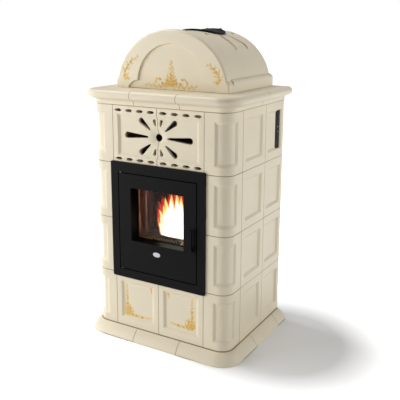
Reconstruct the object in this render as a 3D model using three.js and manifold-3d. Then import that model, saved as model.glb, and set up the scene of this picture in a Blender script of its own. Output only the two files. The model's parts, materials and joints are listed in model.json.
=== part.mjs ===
// Ceramic pellet stove with a vaulted top.
// Millimetres. X runs to the right, Y from the front face back to the wall, Z up from the floor.
// The pieces are drawn with Y = 0 on the front face of the tiles and the floor at Z = 0.

import * as THREE from 'three';
import { mergeVertices } from 'three/addons/utils/BufferGeometryUtils.js';
import Module from 'manifold-3d';

// Body and tile courses
const cornerTileWidth = 109.1;
const rearTileDepth = 183;
const courseCount = 4;
const coursePitch = 240;
const cornerRadius = 52;
const tileWall = 22;
const tileEdge = 1.5;
const lipTileGap = 21.4;
const cornerTileDepth = 110;
const sideTileDepth = 208;
const panelDepth = 8;
const panelSlope = 10;
const frontPanelMargin = 24;
const cornerPanelMargin = 44;
const sidePanelMargin = 29;
const rearPanelMargin = 22;
const panelRise = 34;
const jointGroove = 1;
const jointGrooveDepth = 3;

// Gaps, walls and cutting tools
const seat = 0.3;
const running = 0.4;
const overrun = 5;
const sheet = 3;
const plate = 4;

// Plinth
const plinthHeight = 48;
const plinthReach = 40;
const plinthToe = 7;
const plinthTopReach = 3;
const plinthSwellShare = 0.4;
const plinthFrontJointSetback = 85;
const plinthRearJointSetback = 81;
const corniceJointSetback = 231;

// Cornice
const corniceHeight = 60;
const bullnoseRadius = 18;
const coveRadius = 18;
const coveFillet = 2;
const shelfThickness = 20;
const shelfWidth = 130;
const shelfLap = 10;

// Dome
const domeFront = 98;
const slabThickness = 35;
const slabRollInset = 6;
const slabCrownRise = 7;
const slabRound = 10;
const vaultSlabInset = 6;
const vaultHeight = 231;
const vaultWall = 20;
const vaultRearWall = 16;
const domeSideMargin = 55.5;
const rollHeight = 50;
const rollRound = 17;
const archBand = 105;
const archSpring = 25;
const archFootBand = 56;
const archFootHeight = 32;
const archDepth = 9;
const mouthLap = 6;
const mouthSetback = 143;
const mouthNotchHalfWidth = 42;
const petalGrooveDepth = 6;
const petalGrooveLap = 2;
const petalGrooveLength = 100;
const petalGrooveRootRadius = 4;
const petalGrooveTipRadius = 21;
const petalGrooveAngle = 17;
const dimpleSetback = 40;
const dimpleRadius = 15;
const dimpleAngle = 54;

// Hopper lid
const lidHalfWidth = 100;
const lidHalfDepth = 95;
const lidThickness = 8;
const lidRim = 11;
const lidDish = 3;
const lidKnuckleRadius = 6;
const lidKnuckleHalfWidth = 28;
const lidHingeBehind = 7;
const lidHingeRise = 1;
const lidPinRadius = 3;
const lidPinReach = 10;
const lugGap = 3;
const lugThickness = 4;
const lugRadius = 8;

// Pierced flower tiles
const slotLength = 35;
const slotHeight = 13.6;
const slotInset = 20;
const slotsPerTile = 4;
const slotFirst = 29;
const slotPitch = 52.7;
const flowerHoleRadius = 15.5;
const flowerDishRadius = 39;
const flowerDishDepth = 9;
const longPetalRoot = 45;
const longPetalTip = 161;
const longPetalRootRadius = 4;
const longPetalTipRadius = 13;
const slantPetalTip = 113;
const slantPetalTipRadius = 12;
const slantPetalAngle = 39;
const shortPetalRoot = 46;
const shortPetalTip = 76;
const shortPetalRootRadius = 3;
const shortPetalTipRadius = 7.5;
const shortPetalAngle = 76;

// Door surround, door and window
const surroundBand = 35.5;
const surroundLowLap = 13;
const surroundHighLap = 8;
const surroundProud = 8;
const surroundRound = 6;
const doorWidth = 370;
const doorRise = 28;
const doorDrop = 39;
const doorGap = 4;
const doorFront = -surroundProud;
const doorSkin = 6;
const doorRimDepth = 30;
const doorSlack = 0.8;
const windowMargin = 58;
const windowSill = 129;
const windowRevealDepth = 45;
const windowRevealWall = 4;
const windowRound = 5;
const glassThickness = 4;
const glassLap = 6;
const retainerLap = 4;
const retainerBand = 12;
const retainerThickness = 3;
const sealRadius = 5.7;
const sealInset = 12;
const sealLandWidth = 12;
const sealBend = 16;
const lipThickness = 4;

// Hinge rod, handle and keeper
const hingeRodRadius = 3.5;
const hingeInset = 6;
const hingeSetback = 6.5;
const hingeRodBite = 9;
const hingeBarrel = 14;
const spindleInset = 17;
const spindleRise = 15;
const spindleRadius = 6;
const leverHeight = 86;
const leverWidth = 12;
const leverThickness = 8;
const leverStandoff = 10;
const leverBossRadius = 11;
const leverTipRadius = 7;
const escutcheonHeight = 34;
const escutcheonWidth = 24;
const escutcheonThickness = 2.5;
const tongueReach = 18;
const tongueWidth = 8;
const tongueThickness = 5;
const keeperReach = 8;
const keeperThickness = 5;
const keeperHeight = 11;
const keeperGap = 0.5;
const keeperSetback = 1.5;

// Badge
const badgeHalfWidth = 18;
const badgeHalfHeight = 10;
const badgeThickness = 2.2;
const badgeDrop = 39;

// Firebox, liner, baffle, hearth plate
const flangeFront = 36;
const flangeThickness = 4;
const fireOpeningMargin = 45;
const fireOpeningSill = 28;
const fireOpeningHead = 27;
const chamberReveal = 2;
const chamberBack = 182;
const linerThickness = 12;
const linerFront = 48;
const linerHeadDrop = 21;
const linerRibs = 3;
const linerRibFirst = 68;
const linerRibPitch = 53;
const linerRibRadius = 6;
const fireboxHeadRise = 8;
const ventHoleRadius = 4;
const ventHoleDrop = 96;
const ventHoleRise = 16;
const ventHolePitch = 22.5;
const ventHoleFirst = 45;
const ventHolesPerRow = 4;
const ledgeWidth = 6;
const ledgeHeight = 8;
const hearthDrop = 5;
const hearthThickness = 8;
const hearthFront = 46;
const hearthSlotWidth = 5;
const hearthSlotPitch = 12;
const hearthSlots = 5;
const hearthSlotFirst = 78;
const hearthSlotFront = 62;
const hearthSlotBack = 168;
const combSlots = 9;
const combSlotPitch = 12;
const combSlotDepth = 9;
const combSlotSetback = 2;
const baffleThickness = 5;
const baffleFront = 88;
const baffleLipRun = 24;
const baffleLipRise = 13;

// Burn pot and ash drawer
const potCentre = 60;
const potRadius = 55;
const potWall = 4;
const potDepth = 38;
const potFlange = 10;
const potFlangeThickness = 5;
const potLipHeight = 12;
const potHoleRadius = 3;
const potHoleRing = 32;
const potHoles = 6;
const drawerSideGap = 6;
const drawerFront = 52;
const drawerRearGap = 4;
const drawerHeight = 52;
const drawerWall = 2.5;
const drawerPullWidth = 90;
const drawerPullDepth = 6;
const drawerPullHeight = 8;

// Smoke shaft, fan and exhaust
const smokeShaftWidth = 110;
const smokeShaftMargin = 0.3;
const smokeShaftDepth = 40;
const smokeShaftFoot = 65;
const smokeShaftHead = 10;
const smokeWindowHeight = 37;
const fanDrop = 135;
const voluteRadius = 72;
const voluteWidth = 52;
const voluteOutletHeight = 60;
const voluteOutletReach = 85;
const inletRadius = 30;
const impellerRadius = 62;
const impellerClearance = 3;
const impellerBladeWidth = 30;
const impellerBlades = 8;
const impellerBladeRoot = 22;
const bladeThickness = 3;
const fanShaftRadius = 4;
const fanHubRadius = 11;
const fanMotorRadius = 38;
const fanMotorLength = 58;
const fanMotorFlangeRadius = 46;
const fanShaftBite = 24;
const exhaustRadius = 40;
const exhaustWall = 2.5;
const exhaustBend = 62;
const exhaustLead = 14;
const pipeReach = 39;
const exhaustFlange = 84;

// Air intake and igniter
const intakeRise = 28;
const intakeRadius = 25;
const igniterDrop = 20;
const igniterRadius = 6;
const igniterReach = 37.7;
const igniterFlangeRadius = 12;
const igniterTipGap = 1.5;

// Hopper and feed auger
const hopperHalfWidth = 170;
const hopperDepth = 224;
const hopperRearGap = 41;
const hopperHeight = 391;
const hopperBinHeight = 176;
const hopperRoofRise = 6;
const hopperNeckGap = 2;
const hopperNeckHalfDepth = 78;
const hopperNeckRise = 32;
const hopperNeckDrop = 43.3;
const hopperFlangeInset = 6;
const feedHalfWidth = 26;
const feedDepth = 50;
const feedRearGap = 10;
const augerFootSetback = 2;
const augerFootDrop = 95;
const augerLength = 262;
const augerAngle = 38;
const augerTubeRadius = 30;
const augerBladeRadius = 25.5;
const augerShaftRadius = 8;
const augerPitch = 48;
const augerTurnSteps = 10;
const chuteWidth = 44;
const chuteBackset = 28;
const chuteMouthReach = 30;
const chuteMouthDrop = 92;
const chuteMouthTrim = 8;
const gearmotorRadius = 29;
const gearmotorLength = 66;
const gearboxLength = 26;

// Room-air fan
const roomFanHalfWidth = 130;
const roomFanFront = 80;
const roomFanBack = 172;
const roomFanTop = 164;
const rotorY = 126;
const rotorZ = 100;
const rotorRadius = 33;
const rotorClearance = 3;
const rotorBlades = 10;
const rotorBladeDepth = 8;
const rotorBladeThickness = 2;
const rotorDisc = 3;
const roomMotorRadius = 30;
const roomMotorLength = 38;
const fanEndWall = 6;

// Frame of the stove
const frameSideGap = 11.5;
const frameFront = 34;
const frameRearGap = 0.5;
const trayLow = 36;
const postWidth = 30;
const footRadius = 16;
const footInset = 50;
const railHeight = 12;
const railWidth = 20;
const crossRailFront = 70;
const crossRailPitch = 92;
const topRingGap = 8;
const topRingHeight = 10;

// Rear panel and its fittings
const rearPanelThickness = 4;
const louvreWidth = 120;
const louvreHeight = 6;
const louvrePitch = 18;
const louvreRows = 7;
const louvreLow = 420;
const louvreX = 150;
const inletMargin = 96.5;
const inletZ = 112;
const inletWidth = 50;
const inletHeight = 58;
const inletDepth = 30;
const inletBezel = 3;
const socketWidth = 28;
const socketHeight = 20;
const socketDepth = 18;
const socketDrop = 14;
const rockerWidth = 20;
const rockerHeight = 14;
const rockerDepth = 9;
const rockerRise = 15;
const rockerProud = 3;
const rockerCrown = 1.2;
const rockerTilt = 8;

// Control panel
const controlRearMargin = 49;
const controlWidth = 40;
const controlHeight = 164;
const controlProud = 1.5;
const controlDepth = 26;
const buttonCount = 5;
const buttonPitch = 22;
const buttonTopRise = 55;
const buttonRadius = 6;
const buttonLength = 15;
const buttonProud = 2;
const buttonTravel = 1.5;

// Number of flat sides on round forms
const arcSteps = 8;
const elbowSteps = 5;
const vaultSteps = 32;
const roundSides = 20;
const smallSides = 10;
const petalSteps = 3;

const wasm = await Module();
wasm.setup();

// Sizes and planes that several pieces share, worked out from the ones above

const courseLow = (course) => plinthHeight + course * coursePitch;
const doorCourse = 1;
const topCourse = courseCount - 1;
const tileTop = courseLow(courseCount);
const corniceTop = tileTop + corniceHeight;
const domeLow = corniceTop + seat;

const doorHalfWidth = doorWidth / 2;
const openingHalfWidth = doorHalfWidth + doorGap;
const lipHalfWidth = openingHalfWidth + lipThickness;
const frontTileWidth = lipHalfWidth + lipTileGap;
const halfWidth = frontTileWidth + cornerTileWidth;
const innerHalfWidth = halfWidth - tileWall;
const bodyDepth = cornerTileDepth + sideTileDepth + rearTileDepth;
const trimJoint = frontTileWidth / 2;
const plinthSideJoints = [cornerTileDepth + plinthFrontJointSetback, bodyDepth - plinthRearJointSetback];
const corniceSideJoint = bodyDepth - corniceJointSetback;

const rollHalfWidth = halfWidth - domeSideMargin;
const slabHalfWidth = rollHalfWidth - slabRollInset;
const vaultHalfWidth = slabHalfWidth - vaultSlabInset;
const slabHeight = vaultHeight + slabCrownRise;
const vaultCrown = domeLow + vaultHeight;
const archHalfWidth = slabHalfWidth - archBand;
const archFootHalfWidth = slabHalfWidth - archFootBand;
const mouthCentre = bodyDepth - mouthSetback;
const mouthHalfWidth = lidHalfWidth - mouthLap;
const mouthHalfDepth = lidHalfDepth - mouthLap;
const petalGrooveRoot = lidHalfWidth - petalGrooveLap;
const petalGrooveTip = petalGrooveRoot + petalGrooveLength;
const dimpleReach = lidHalfWidth + dimpleSetback;
const lidHingeY = mouthCentre + lidHalfDepth + lidHingeBehind;
const lidHingeZ = vaultCrown + lidHingeRise;

const doorLow = courseLow(doorCourse) + doorRise;
const doorHigh = courseLow(topCourse) - doorDrop;
const doorBack = doorFront + doorRimDepth;
const openingLow = doorLow - doorGap;
const openingHigh = doorHigh + doorGap;
const surroundWidth = 2 * (openingHalfWidth + surroundBand);
const surroundLow = courseLow(doorCourse) - surroundLowLap;
const surroundHigh = courseLow(topCourse) + surroundHighLap;
const windowWidth = doorWidth - 2 * windowMargin;
const windowLow = doorLow + windowSill;
const windowHigh = doorHigh - windowMargin;
const revealBack = doorFront + windowRevealDepth;
const hingeX = -doorHalfWidth + hingeInset;
const hingeY = doorFront + hingeSetback;
const spindleX = doorHalfWidth - spindleInset;
const spindleHeight = windowLow + spindleRise;
const badgeHeight = windowLow - badgeDrop;

const flangeBack = flangeFront + flangeThickness;
const fireOpeningWidth = doorWidth - 2 * fireOpeningMargin;
const fireOpeningLow = doorLow + fireOpeningSill;
const fireOpeningHigh = doorHigh - fireOpeningHead;
const chamberHalfWidth = fireOpeningWidth / 2 - chamberReveal;
const fireboxInner = chamberHalfWidth + linerThickness + seat;
const fireboxHalfWidth = fireboxInner + plate;
const fireboxBackInner = chamberBack + linerThickness + seat;
const fireboxBack = fireboxBackInner + plate;
const fireboxLow = fireOpeningLow - plate;
const fireboxHigh = fireOpeningHigh + fireboxHeadRise;
const hearthTop = windowLow - hearthDrop;
const linerHigh = windowHigh - linerHeadDrop;
const ventHoleLow = linerHigh - ventHoleDrop;
const drawerHalfWidth = fireOpeningWidth / 2 - drawerSideGap;
const drawerBack = chamberBack - drawerRearGap;

const smokeShaftRight = fireboxInner - smokeShaftMargin;
const smokeShaftLeft = smokeShaftRight - smokeShaftWidth;
const smokeShaftHigh = fireboxHigh - smokeShaftHead;
const smokeWindowLow = smokeShaftHigh - sheet - smokeWindowHeight;
const fanCentreX = (smokeShaftLeft + smokeShaftRight) / 2;
const fanCentreZ = fireboxLow - fanDrop;
const smokeShaftLow = fanCentreZ - smokeShaftFoot;
const fanFront = fireboxBack + smokeShaftDepth + seat;
const voluteOutletX = fanCentreX - voluteOutletReach;
const exhaustX = voluteOutletX - seat - plate - exhaustLead - exhaustBend;
const exhaustZ = fanCentreZ - voluteRadius + voluteOutletHeight / 2;
const pipeEnd = bodyDepth + pipeReach;
const intakeX = -fanCentreX;
const intakeZ = fireOpeningLow + intakeRise;
const igniterZ = hearthTop - igniterDrop;
const igniterBack = fireboxBack + igniterReach;

const rearFace = bodyDepth - rearPanelThickness - seat;
const frameHalfWidth = innerHalfWidth - frameSideGap;
const frameBack = rearFace - frameRearGap;
const topRingHigh = corniceTop - shelfThickness - topRingGap;
const crossRailBack = crossRailFront + crossRailPitch;
const hopperBack = bodyDepth - hopperRearGap;
const hopperFront = hopperBack - hopperDepth;
const hopperRoof = topRingHigh + hopperRoofRise;
const hopperLow = hopperRoof - hopperHeight;
const hopperShoulder = hopperRoof - hopperBinHeight;
const hopperNeckHalfWidth = mouthHalfWidth - hopperNeckGap;
const hopperNeckFront = mouthCentre - hopperNeckHalfDepth;
const hopperNeckBack = mouthCentre + hopperNeckHalfDepth;
const hopperNeckBase = corniceTop + hopperNeckRise;
const hopperNeckTop = vaultCrown - hopperNeckDrop;
const hopperFlangeHalfWidth = frameHalfWidth - hopperFlangeInset;
const feedBack = hopperBack - feedRearGap;
const feedFront = feedBack - feedDepth;
const augerSlope = THREE.MathUtils.degToRad(augerAngle);
const augerFootY = hopperBack + augerFootSetback;
const augerFootZ = hopperLow - augerFootDrop;
const augerEndY = augerFootY - augerLength * Math.cos(augerSlope);
const augerEndZ = augerFootZ + augerLength * Math.sin(augerSlope);
const chuteMouthY = chamberBack - chuteMouthReach;
const chuteMouthZ = linerHigh - chuteMouthDrop;

const inletX = innerHalfWidth - inletMargin;
const controlY = bodyDepth - controlRearMargin;
const controlZ = courseLow(topCourse) + coursePitch / 2;
const controlFace = halfWidth - panelDepth + controlProud;
const buttonTop = controlZ + buttonTopRise;

// Shape and solid helpers

const about = (centre, width) => [centre - width / 2, centre + width / 2];

function block([x0, x1], [y0, y1], [z0, z1]) {
  const box = new THREE.BoxGeometry(x1 - x0, y1 - y0, z1 - z0);
  return box.translate((x0 + x1) / 2, (y0 + y1) / 2, (z0 + z1) / 2);
}

function extruded(shape, length, curveSegments) {
  return new THREE.ExtrudeGeometry(shape, { depth: length, bevelEnabled: false, curveSegments });
}

// An outline drawn in X and Y, standing between two heights.
function prismZ(shape, [z0, z1], curveSegments = petalSteps) {
  return extruded(shape, z1 - z0, curveSegments).translate(0, 0, z0);
}

// An outline drawn in X and Z, running from front to back.
function prismY(shape, [y0, y1], curveSegments = petalSteps) {
  return extruded(shape, y1 - y0, curveSegments).rotateX(Math.PI / 2).translate(0, y1, 0);
}

// An outline drawn in Y and Z, running from left to right.
function prismX(shape, [x0, x1], curveSegments = petalSteps) {
  const side = new THREE.Matrix4().makeBasis(
    new THREE.Vector3(0, 1, 0), new THREE.Vector3(0, 0, 1), new THREE.Vector3(1, 0, 0));
  return extruded(shape, x1 - x0, curveSegments).applyMatrix4(side).translate(x0, 0, 0);
}

function rodX(radius, [x0, x1], y, z, sides = smallSides) {
  const rod = new THREE.CylinderGeometry(radius, radius, x1 - x0, sides);
  return rod.rotateZ(Math.PI / 2).translate((x0 + x1) / 2, y, z);
}

function rodY(radius, [y0, y1], x, z, sides = smallSides) {
  return new THREE.CylinderGeometry(radius, radius, y1 - y0, sides).translate(x, (y0 + y1) / 2, z);
}

function rodZ(radius, [z0, z1], x, y, sides = smallSides) {
  const rod = new THREE.CylinderGeometry(radius, radius, z1 - z0, sides);
  return rod.rotateX(Math.PI / 2).translate(x, y, (z0 + z1) / 2);
}

function signedVolume(geometry) {
  const point = geometry.getAttribute('position');
  const corner = [0, 1, 2].map(() => new THREE.Vector3());
  let volume = 0;
  for (let i = 0; i < geometry.index.count; i += 3) {
    corner.forEach((v, k) => v.fromBufferAttribute(point, geometry.index.getX(i + k)));
    volume += corner[0].dot(corner[1].clone().cross(corner[2]));
  }
  return volume;
}

function flipped(geometry) {
  const order = Array.from(geometry.index.array);
  for (let i = 0; i < order.length; i += 3) {
    [order[i], order[i + 1]] = [order[i + 1], order[i]];
  }
  geometry.setIndex(order);
  return geometry;
}

// A closed shape with its shared corners merged and its faces pointing out.
function closed(geometry) {
  const bare = geometry.clone();
  bare.deleteAttribute('normal');
  bare.deleteAttribute('uv');
  const merged = mergeVertices(bare);
  return signedVolume(merged) < 0 ? flipped(merged) : merged;
}

function solid(geometry) {
  const body = closed(geometry);
  return new wasm.Manifold(new wasm.Mesh({
    numProp: 3,
    vertProperties: new Float32Array(body.getAttribute('position').array),
    triVerts: new Uint32Array(body.index.array),
  }));
}

function shapeOf(body) {
  const mesh = body.getMesh();
  const geometry = new THREE.BufferGeometry();
  geometry.setAttribute('position', new THREE.BufferAttribute(new Float32Array(mesh.vertProperties), 3));
  geometry.setIndex(Array.from(mesh.triVerts));
  return geometry;
}

function join(first, ...others) {
  return shapeOf(others.reduce((body, other) => body.add(solid(other)), solid(first)));
}

function cut(first, ...tools) {
  return shapeOf(tools.reduce((body, tool) => body.subtract(solid(tool)), solid(first)));
}

function common(first, second) {
  return shapeOf(solid(first).intersect(solid(second)));
}

function mirrored(geometry) {
  return flipped(closed(geometry).scale(-1, 1, 1));
}

// A skin over a row of point rings, closed by end caps or back on itself.
function loft(rings, capFaces, endless = false) {
  const size = rings[0].length;
  const points = rings.flat(2);
  const faces = [];
  const last = endless ? rings.length : rings.length - 1;
  for (let ring = 0; ring < last; ring += 1) {
    const here = ring * size;
    const there = ((ring + 1) % rings.length) * size;
    for (let side = 0; side < size; side += 1) {
      const next = (side + 1) % size;
      faces.push(here + side, here + next, there + next, here + side, there + next, there + side);
    }
  }
  if (!endless) {
    const end = (rings.length - 1) * size;
    for (const [a, b, c] of capFaces) faces.push(c, b, a, end + a, end + b, end + c);
  }
  const geometry = new THREE.BufferGeometry();
  geometry.setAttribute('position', new THREE.Float32BufferAttribute(points, 3));
  geometry.setIndex(faces);
  return closed(geometry);
}

const quadCaps = [[0, 1, 2], [0, 2, 3]];

// A profile of offset and height pairs, carried along stations on the wall line.
function sweep(profile, stations) {
  const rings = stations.map((s) => profile.map(([out, z]) => [s.x + s.nx * out, s.y + s.ny * out, z]));
  const outline = profile.map(([out, z]) => new THREE.Vector2(out, z));
  return loft(rings, THREE.ShapeUtils.triangulateShape(outline, []));
}

// Stations from a point on the right side, round the front corner, to a point on the front.
function cornerRun(sideEnd, frontEnd) {
  const centreX = halfWidth - cornerRadius;
  const stations = [{ x: halfWidth, y: sideEnd, nx: 1, ny: 0 }];
  for (let step = 0; step <= arcSteps; step += 1) {
    const turn = (-Math.PI / 2) * (step / arcSteps);
    const nx = Math.cos(turn);
    const ny = Math.sin(turn);
    stations.push({ x: centreX + cornerRadius * nx, y: cornerRadius + cornerRadius * ny, nx, ny });
  }
  stations.push({ x: frontEnd, y: 0, nx: 0, ny: -1 });
  return stations;
}

const frontRun = (left, right) => [left, right].map((x) => ({ x, y: 0, nx: 0, ny: -1 }));
const sideRun = (front, back) => [front, back].map((y) => ({ x: halfWidth, y, nx: 1, ny: 0 }));

// The tool that presses a sloped, sunken panel into a wall. The run gives the
// stations for a panel made longer at both ends by the amount asked for.
function panelTool(run, low, high) {
  const spread = panelSlope * (overrun / panelDepth);
  const outer = run(spread);
  const inner = run(-panelSlope);
  const at = (s, out, z) => [s.x + s.nx * out, s.y + s.ny * out, z];
  const rings = outer.map((s, i) => [
    at(s, overrun, low - spread),
    at(s, overrun, high + spread),
    at(inner[i], -panelDepth, high - panelSlope),
    at(inner[i], -panelDepth, low + panelSlope),
  ]);
  return loft(rings, quadCaps);
}

function tileProfile(low, high) {
  return [
    [-tileWall, low], [-tileEdge, low], [0, low + tileEdge],
    [0, high - tileEdge], [-tileEdge, high], [-tileWall, high],
  ];
}

function ellipseShape(x, y, halfX, halfY) {
  return new THREE.Shape().absellipse(x, y, halfX, halfY, 0, 2 * Math.PI, false, 0);
}

function roundedBox(left, right, low, high, radius) {
  const shape = new THREE.Shape();
  shape.absarc(right - radius, low + radius, radius, -Math.PI / 2, 0);
  shape.absarc(right - radius, high - radius, radius, 0, Math.PI / 2);
  shape.absarc(left + radius, high - radius, radius, Math.PI / 2, Math.PI);
  shape.absarc(left + radius, low + radius, radius, Math.PI, 1.5 * Math.PI);
  return shape;
}

// A drop outline from a small round root to a large round tip, turned about a centre.
function petalShape(root, tip, rootRadius, tipRadius, degrees, x, y) {
  const near = root + rootRadius;
  const far = tip - tipRadius;
  const lean = Math.asin((tipRadius - rootRadius) / (far - near));
  const drop = new THREE.Shape();
  drop.absarc(far, 0, tipRadius, -Math.PI / 2 - lean, Math.PI / 2 + lean);
  drop.absarc(near, 0, rootRadius, Math.PI / 2 + lean, 1.5 * Math.PI - lean);
  const turn = THREE.MathUtils.degToRad(degrees);
  const centre = new THREE.Vector2(0, 0);
  const points = drop.getPoints(petalSteps).map((p) => p.rotateAround(centre, turn));
  return new THREE.Shape(points.map((p) => new THREE.Vector2(p.x + x, p.y + y)));
}

// Ceramic tiles

function cornerTile(course) {
  const low = courseLow(course) + seat;
  const high = courseLow(course + 1) - seat;
  const frontJoint = frontTileWidth + seat;
  const sideJoint = cornerTileDepth - seat;
  const wall = sweep(tileProfile(low, high), cornerRun(sideJoint, frontJoint));
  const run = (extra) => cornerRun(
    cornerTileDepth - cornerPanelMargin + extra, frontTileWidth + cornerPanelMargin - extra);
  return cut(wall, panelTool(run, low + panelRise, high - panelRise));
}

// One side's two columns of tiles, hung as a single curtain with its joints let in.
function sideCurtain() {
  const sideJoint = cornerTileDepth + sideTileDepth;
  const wall = sweep([[-tileWall, courseLow(0) + seat], [0, courseLow(0) + seat],
    [0, tileTop - seat], [-tileWall, tileTop - seat]], sideRun(cornerTileDepth + seat, bodyDepth));
  const groove = [halfWidth - jointGrooveDepth, halfWidth + overrun];
  const past = [cornerTileDepth - overrun, bodyDepth + overrun];
  const tools = [block(groove, about(sideJoint, jointGroove), [0, corniceTop])];
  for (let course = 0; course < courseCount; course += 1) {
    const low = courseLow(course) + seat + panelRise;
    const high = courseLow(course + 1) - seat - panelRise;
    const near = (extra) => sideRun(
      cornerTileDepth + sidePanelMargin - extra, sideJoint - sidePanelMargin + extra);
    const far = (extra) => sideRun(
      sideJoint + rearPanelMargin - extra, bodyDepth - rearPanelMargin + extra);
    tools.push(panelTool(near, low, high), panelTool(far, low, high));
    if (course > 0) tools.push(block(groove, past, about(courseLow(course), jointGroove)));
  }
  return cut(wall, ...tools);
}

function controlOpening() {
  return block([innerHalfWidth - overrun, halfWidth + overrun],
    about(controlY, controlWidth + 2 * running), about(controlZ, controlHeight + 2 * running));
}

function paintedTile() {
  const low = courseLow(0) + seat;
  const high = courseLow(1) - seat;
  const wall = sweep(tileProfile(low, high), frontRun(seat, frontTileWidth - seat));
  const run = (extra) => frontRun(frontPanelMargin - extra, frontTileWidth - frontPanelMargin + extra);
  return cut(wall, panelTool(run, low + panelRise, high - panelRise));
}

function flowerTools(middle) {
  const depth = [-overrun, tileWall + overrun];
  const petals = [
    petalShape(longPetalRoot, longPetalTip, longPetalRootRadius, longPetalTipRadius, 0, 0, middle)];
  for (const side of [-1, 1]) {
    petals.push(petalShape(longPetalRoot, slantPetalTip, longPetalRootRadius, slantPetalTipRadius,
      side * slantPetalAngle, 0, middle));
    petals.push(petalShape(shortPetalRoot, shortPetalTip, shortPetalRootRadius, shortPetalTipRadius,
      side * shortPetalAngle, 0, middle));
  }
  const dish = new THREE.CylinderGeometry(flowerHoleRadius, flowerDishRadius, flowerDishDepth, roundSides);
  return [
    ...petals.map((shape) => prismY(shape, depth)),
    rodY(flowerHoleRadius, depth, 0, middle, roundSides),
    dish.translate(0, panelDepth + flowerDishDepth / 2, middle),
  ];
}

function slotTools(low, high) {
  const rows = [low + slotInset, high - slotInset];
  const columns = Array.from({ length: slotsPerTile }, (_, i) => slotFirst + i * slotPitch);
  const slots = rows.flatMap((z) => columns.map((x) => ellipseShape(x, z, slotLength / 2, slotHeight / 2)));
  return slots.map((shape) => prismY(shape, [-overrun, tileWall + overrun]));
}

function grilleTile() {
  const course = topCourse;
  const low = courseLow(course) + seat;
  const high = courseLow(course + 1) - seat;
  const wall = sweep(tileProfile(low, high), frontRun(seat, frontTileWidth - seat));
  const edge = frontTileWidth - frontPanelMargin;
  const run = (extra) => frontRun(-edge - extra, edge + extra);
  return cut(wall, panelTool(run, low + panelRise, high - panelRise),
    ...flowerTools((low + high) / 2), ...slotTools(low, high));
}

// Plinth and cornice

// The plinth's face is a slope from the toe to the wall that swells outward a little.
function plinthProfile() {
  const flare = Array.from({ length: arcSteps + 1 }, (_, i) => {
    const turn = (Math.PI / 2) * (i / arcSteps);
    const along = i / arcSteps;
    return [
      plinthTopReach + (plinthReach - plinthTopReach)
        * THREE.MathUtils.lerp(1 - along, Math.cos(turn), plinthSwellShare),
      plinthToe + (plinthHeight - plinthToe)
        * THREE.MathUtils.lerp(along, Math.sin(turn), plinthSwellShare),
    ];
  });
  return [[-tileWall, 0], [plinthReach, 0], ...flare, [-tileWall, plinthHeight]];
}

// Thin joints let into the side of a moulding, from its outer face down to the tile wall.
function trimJointTools(places, reach, [z0, z1]) {
  return places.map((y) => block([halfWidth - jointGrooveDepth, halfWidth + reach + overrun],
    about(y, jointGroove), [z0 - overrun, z1 + overrun]));
}

function plinthSide() {
  return cut(sweep(plinthProfile(), cornerRun(bodyDepth, trimJoint + seat)),
    ...trimJointTools(plinthSideJoints, plinthReach, [0, plinthHeight]));
}

function corniceProfile() {
  const quarter = (i) => (Math.PI / 2) * (i / arcSteps);
  const coveSide = coveFillet + coveRadius;
  const coveLow = corniceHeight - 2 * bullnoseRadius - coveRadius;
  const cove = Array.from({ length: arcSteps + 1 }, (_, i) => [
    coveSide - coveRadius * Math.cos(quarter(i)), coveLow + coveRadius * Math.sin(quarter(i))]);
  const nose = Array.from({ length: arcSteps + 1 }, (_, i) => [
    bullnoseRadius + bullnoseRadius * Math.sin(2 * quarter(i)),
    corniceHeight - bullnoseRadius - bullnoseRadius * Math.cos(2 * quarter(i))]);
  const outline = [[-tileWall, seat], [coveFillet, seat], ...cove, ...nose, [-tileWall, corniceHeight]];
  return outline.map(([out, z]) => [out, tileTop + z]);
}

const shelfSpan = [corniceTop - shelfThickness, corniceTop];

function corniceSide() {
  const joint = trimJoint + seat;
  const shelf = new THREE.Shape();
  shelf.moveTo(joint, shelfLap);
  shelf.lineTo(halfWidth - cornerRadius, shelfLap);
  shelf.absarc(halfWidth - cornerRadius, cornerRadius, cornerRadius - shelfLap, -Math.PI / 2, 0);
  shelf.lineTo(halfWidth - shelfLap, bodyDepth);
  shelf.lineTo(halfWidth - shelfWidth, bodyDepth);
  shelf.lineTo(halfWidth - shelfWidth, shelfWidth);
  shelf.lineTo(joint, shelfWidth);
  const shelfJoint = block([halfWidth - shelfWidth - overrun, halfWidth],
    about(corniceSideJoint, jointGroove), [corniceTop - jointGrooveDepth, corniceTop + overrun]);
  return cut(join(sweep(corniceProfile(), cornerRun(bodyDepth, joint)), prismZ(shelf, shelfSpan)),
    shelfJoint, ...trimJointTools([corniceSideJoint], 2 * bullnoseRadius, [tileTop, corniceTop]));
}

function corniceMiddle() {
  const joint = trimJoint - seat;
  return join(sweep(corniceProfile(), frontRun(-joint, joint)),
    block([-joint, joint], [shelfLap, shelfWidth], shelfSpan));
}

// Dome

// Half an ellipse standing on the cornice, its foot drawn on below as far as the skirt.
function vaultShape(halfX, height, skirt = 0) {
  const arch = new THREE.Shape();
  if (skirt > 0) arch.moveTo(halfX, domeLow - skirt);
  for (let step = 0; step <= vaultSteps; step += 1) {
    const turn = Math.PI * (step / vaultSteps);
    const point = [halfX * Math.cos(turn), domeLow + height * Math.sin(turn)];
    if (step === 0 && skirt === 0) arch.moveTo(...point);
    else arch.lineTo(...point);
  }
  if (skirt > 0) arch.lineTo(-halfX, domeLow - skirt);
  return arch;
}

const vaultPrism = (grow, run, skirt) => prismY(
  vaultShape(vaultHalfWidth + grow, vaultHeight + grow, skirt), run);

function rollShape(inset) {
  return roundedBox(-rollHalfWidth + inset, rollHalfWidth - inset,
    domeLow - rollHeight, domeLow + rollHeight - inset, rollRound);
}

const aboveCornice = (front, back) => block(
  [-2 * halfWidth, 2 * halfWidth], [front, back], [domeLow, domeLow + 2 * slabHeight]);

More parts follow.
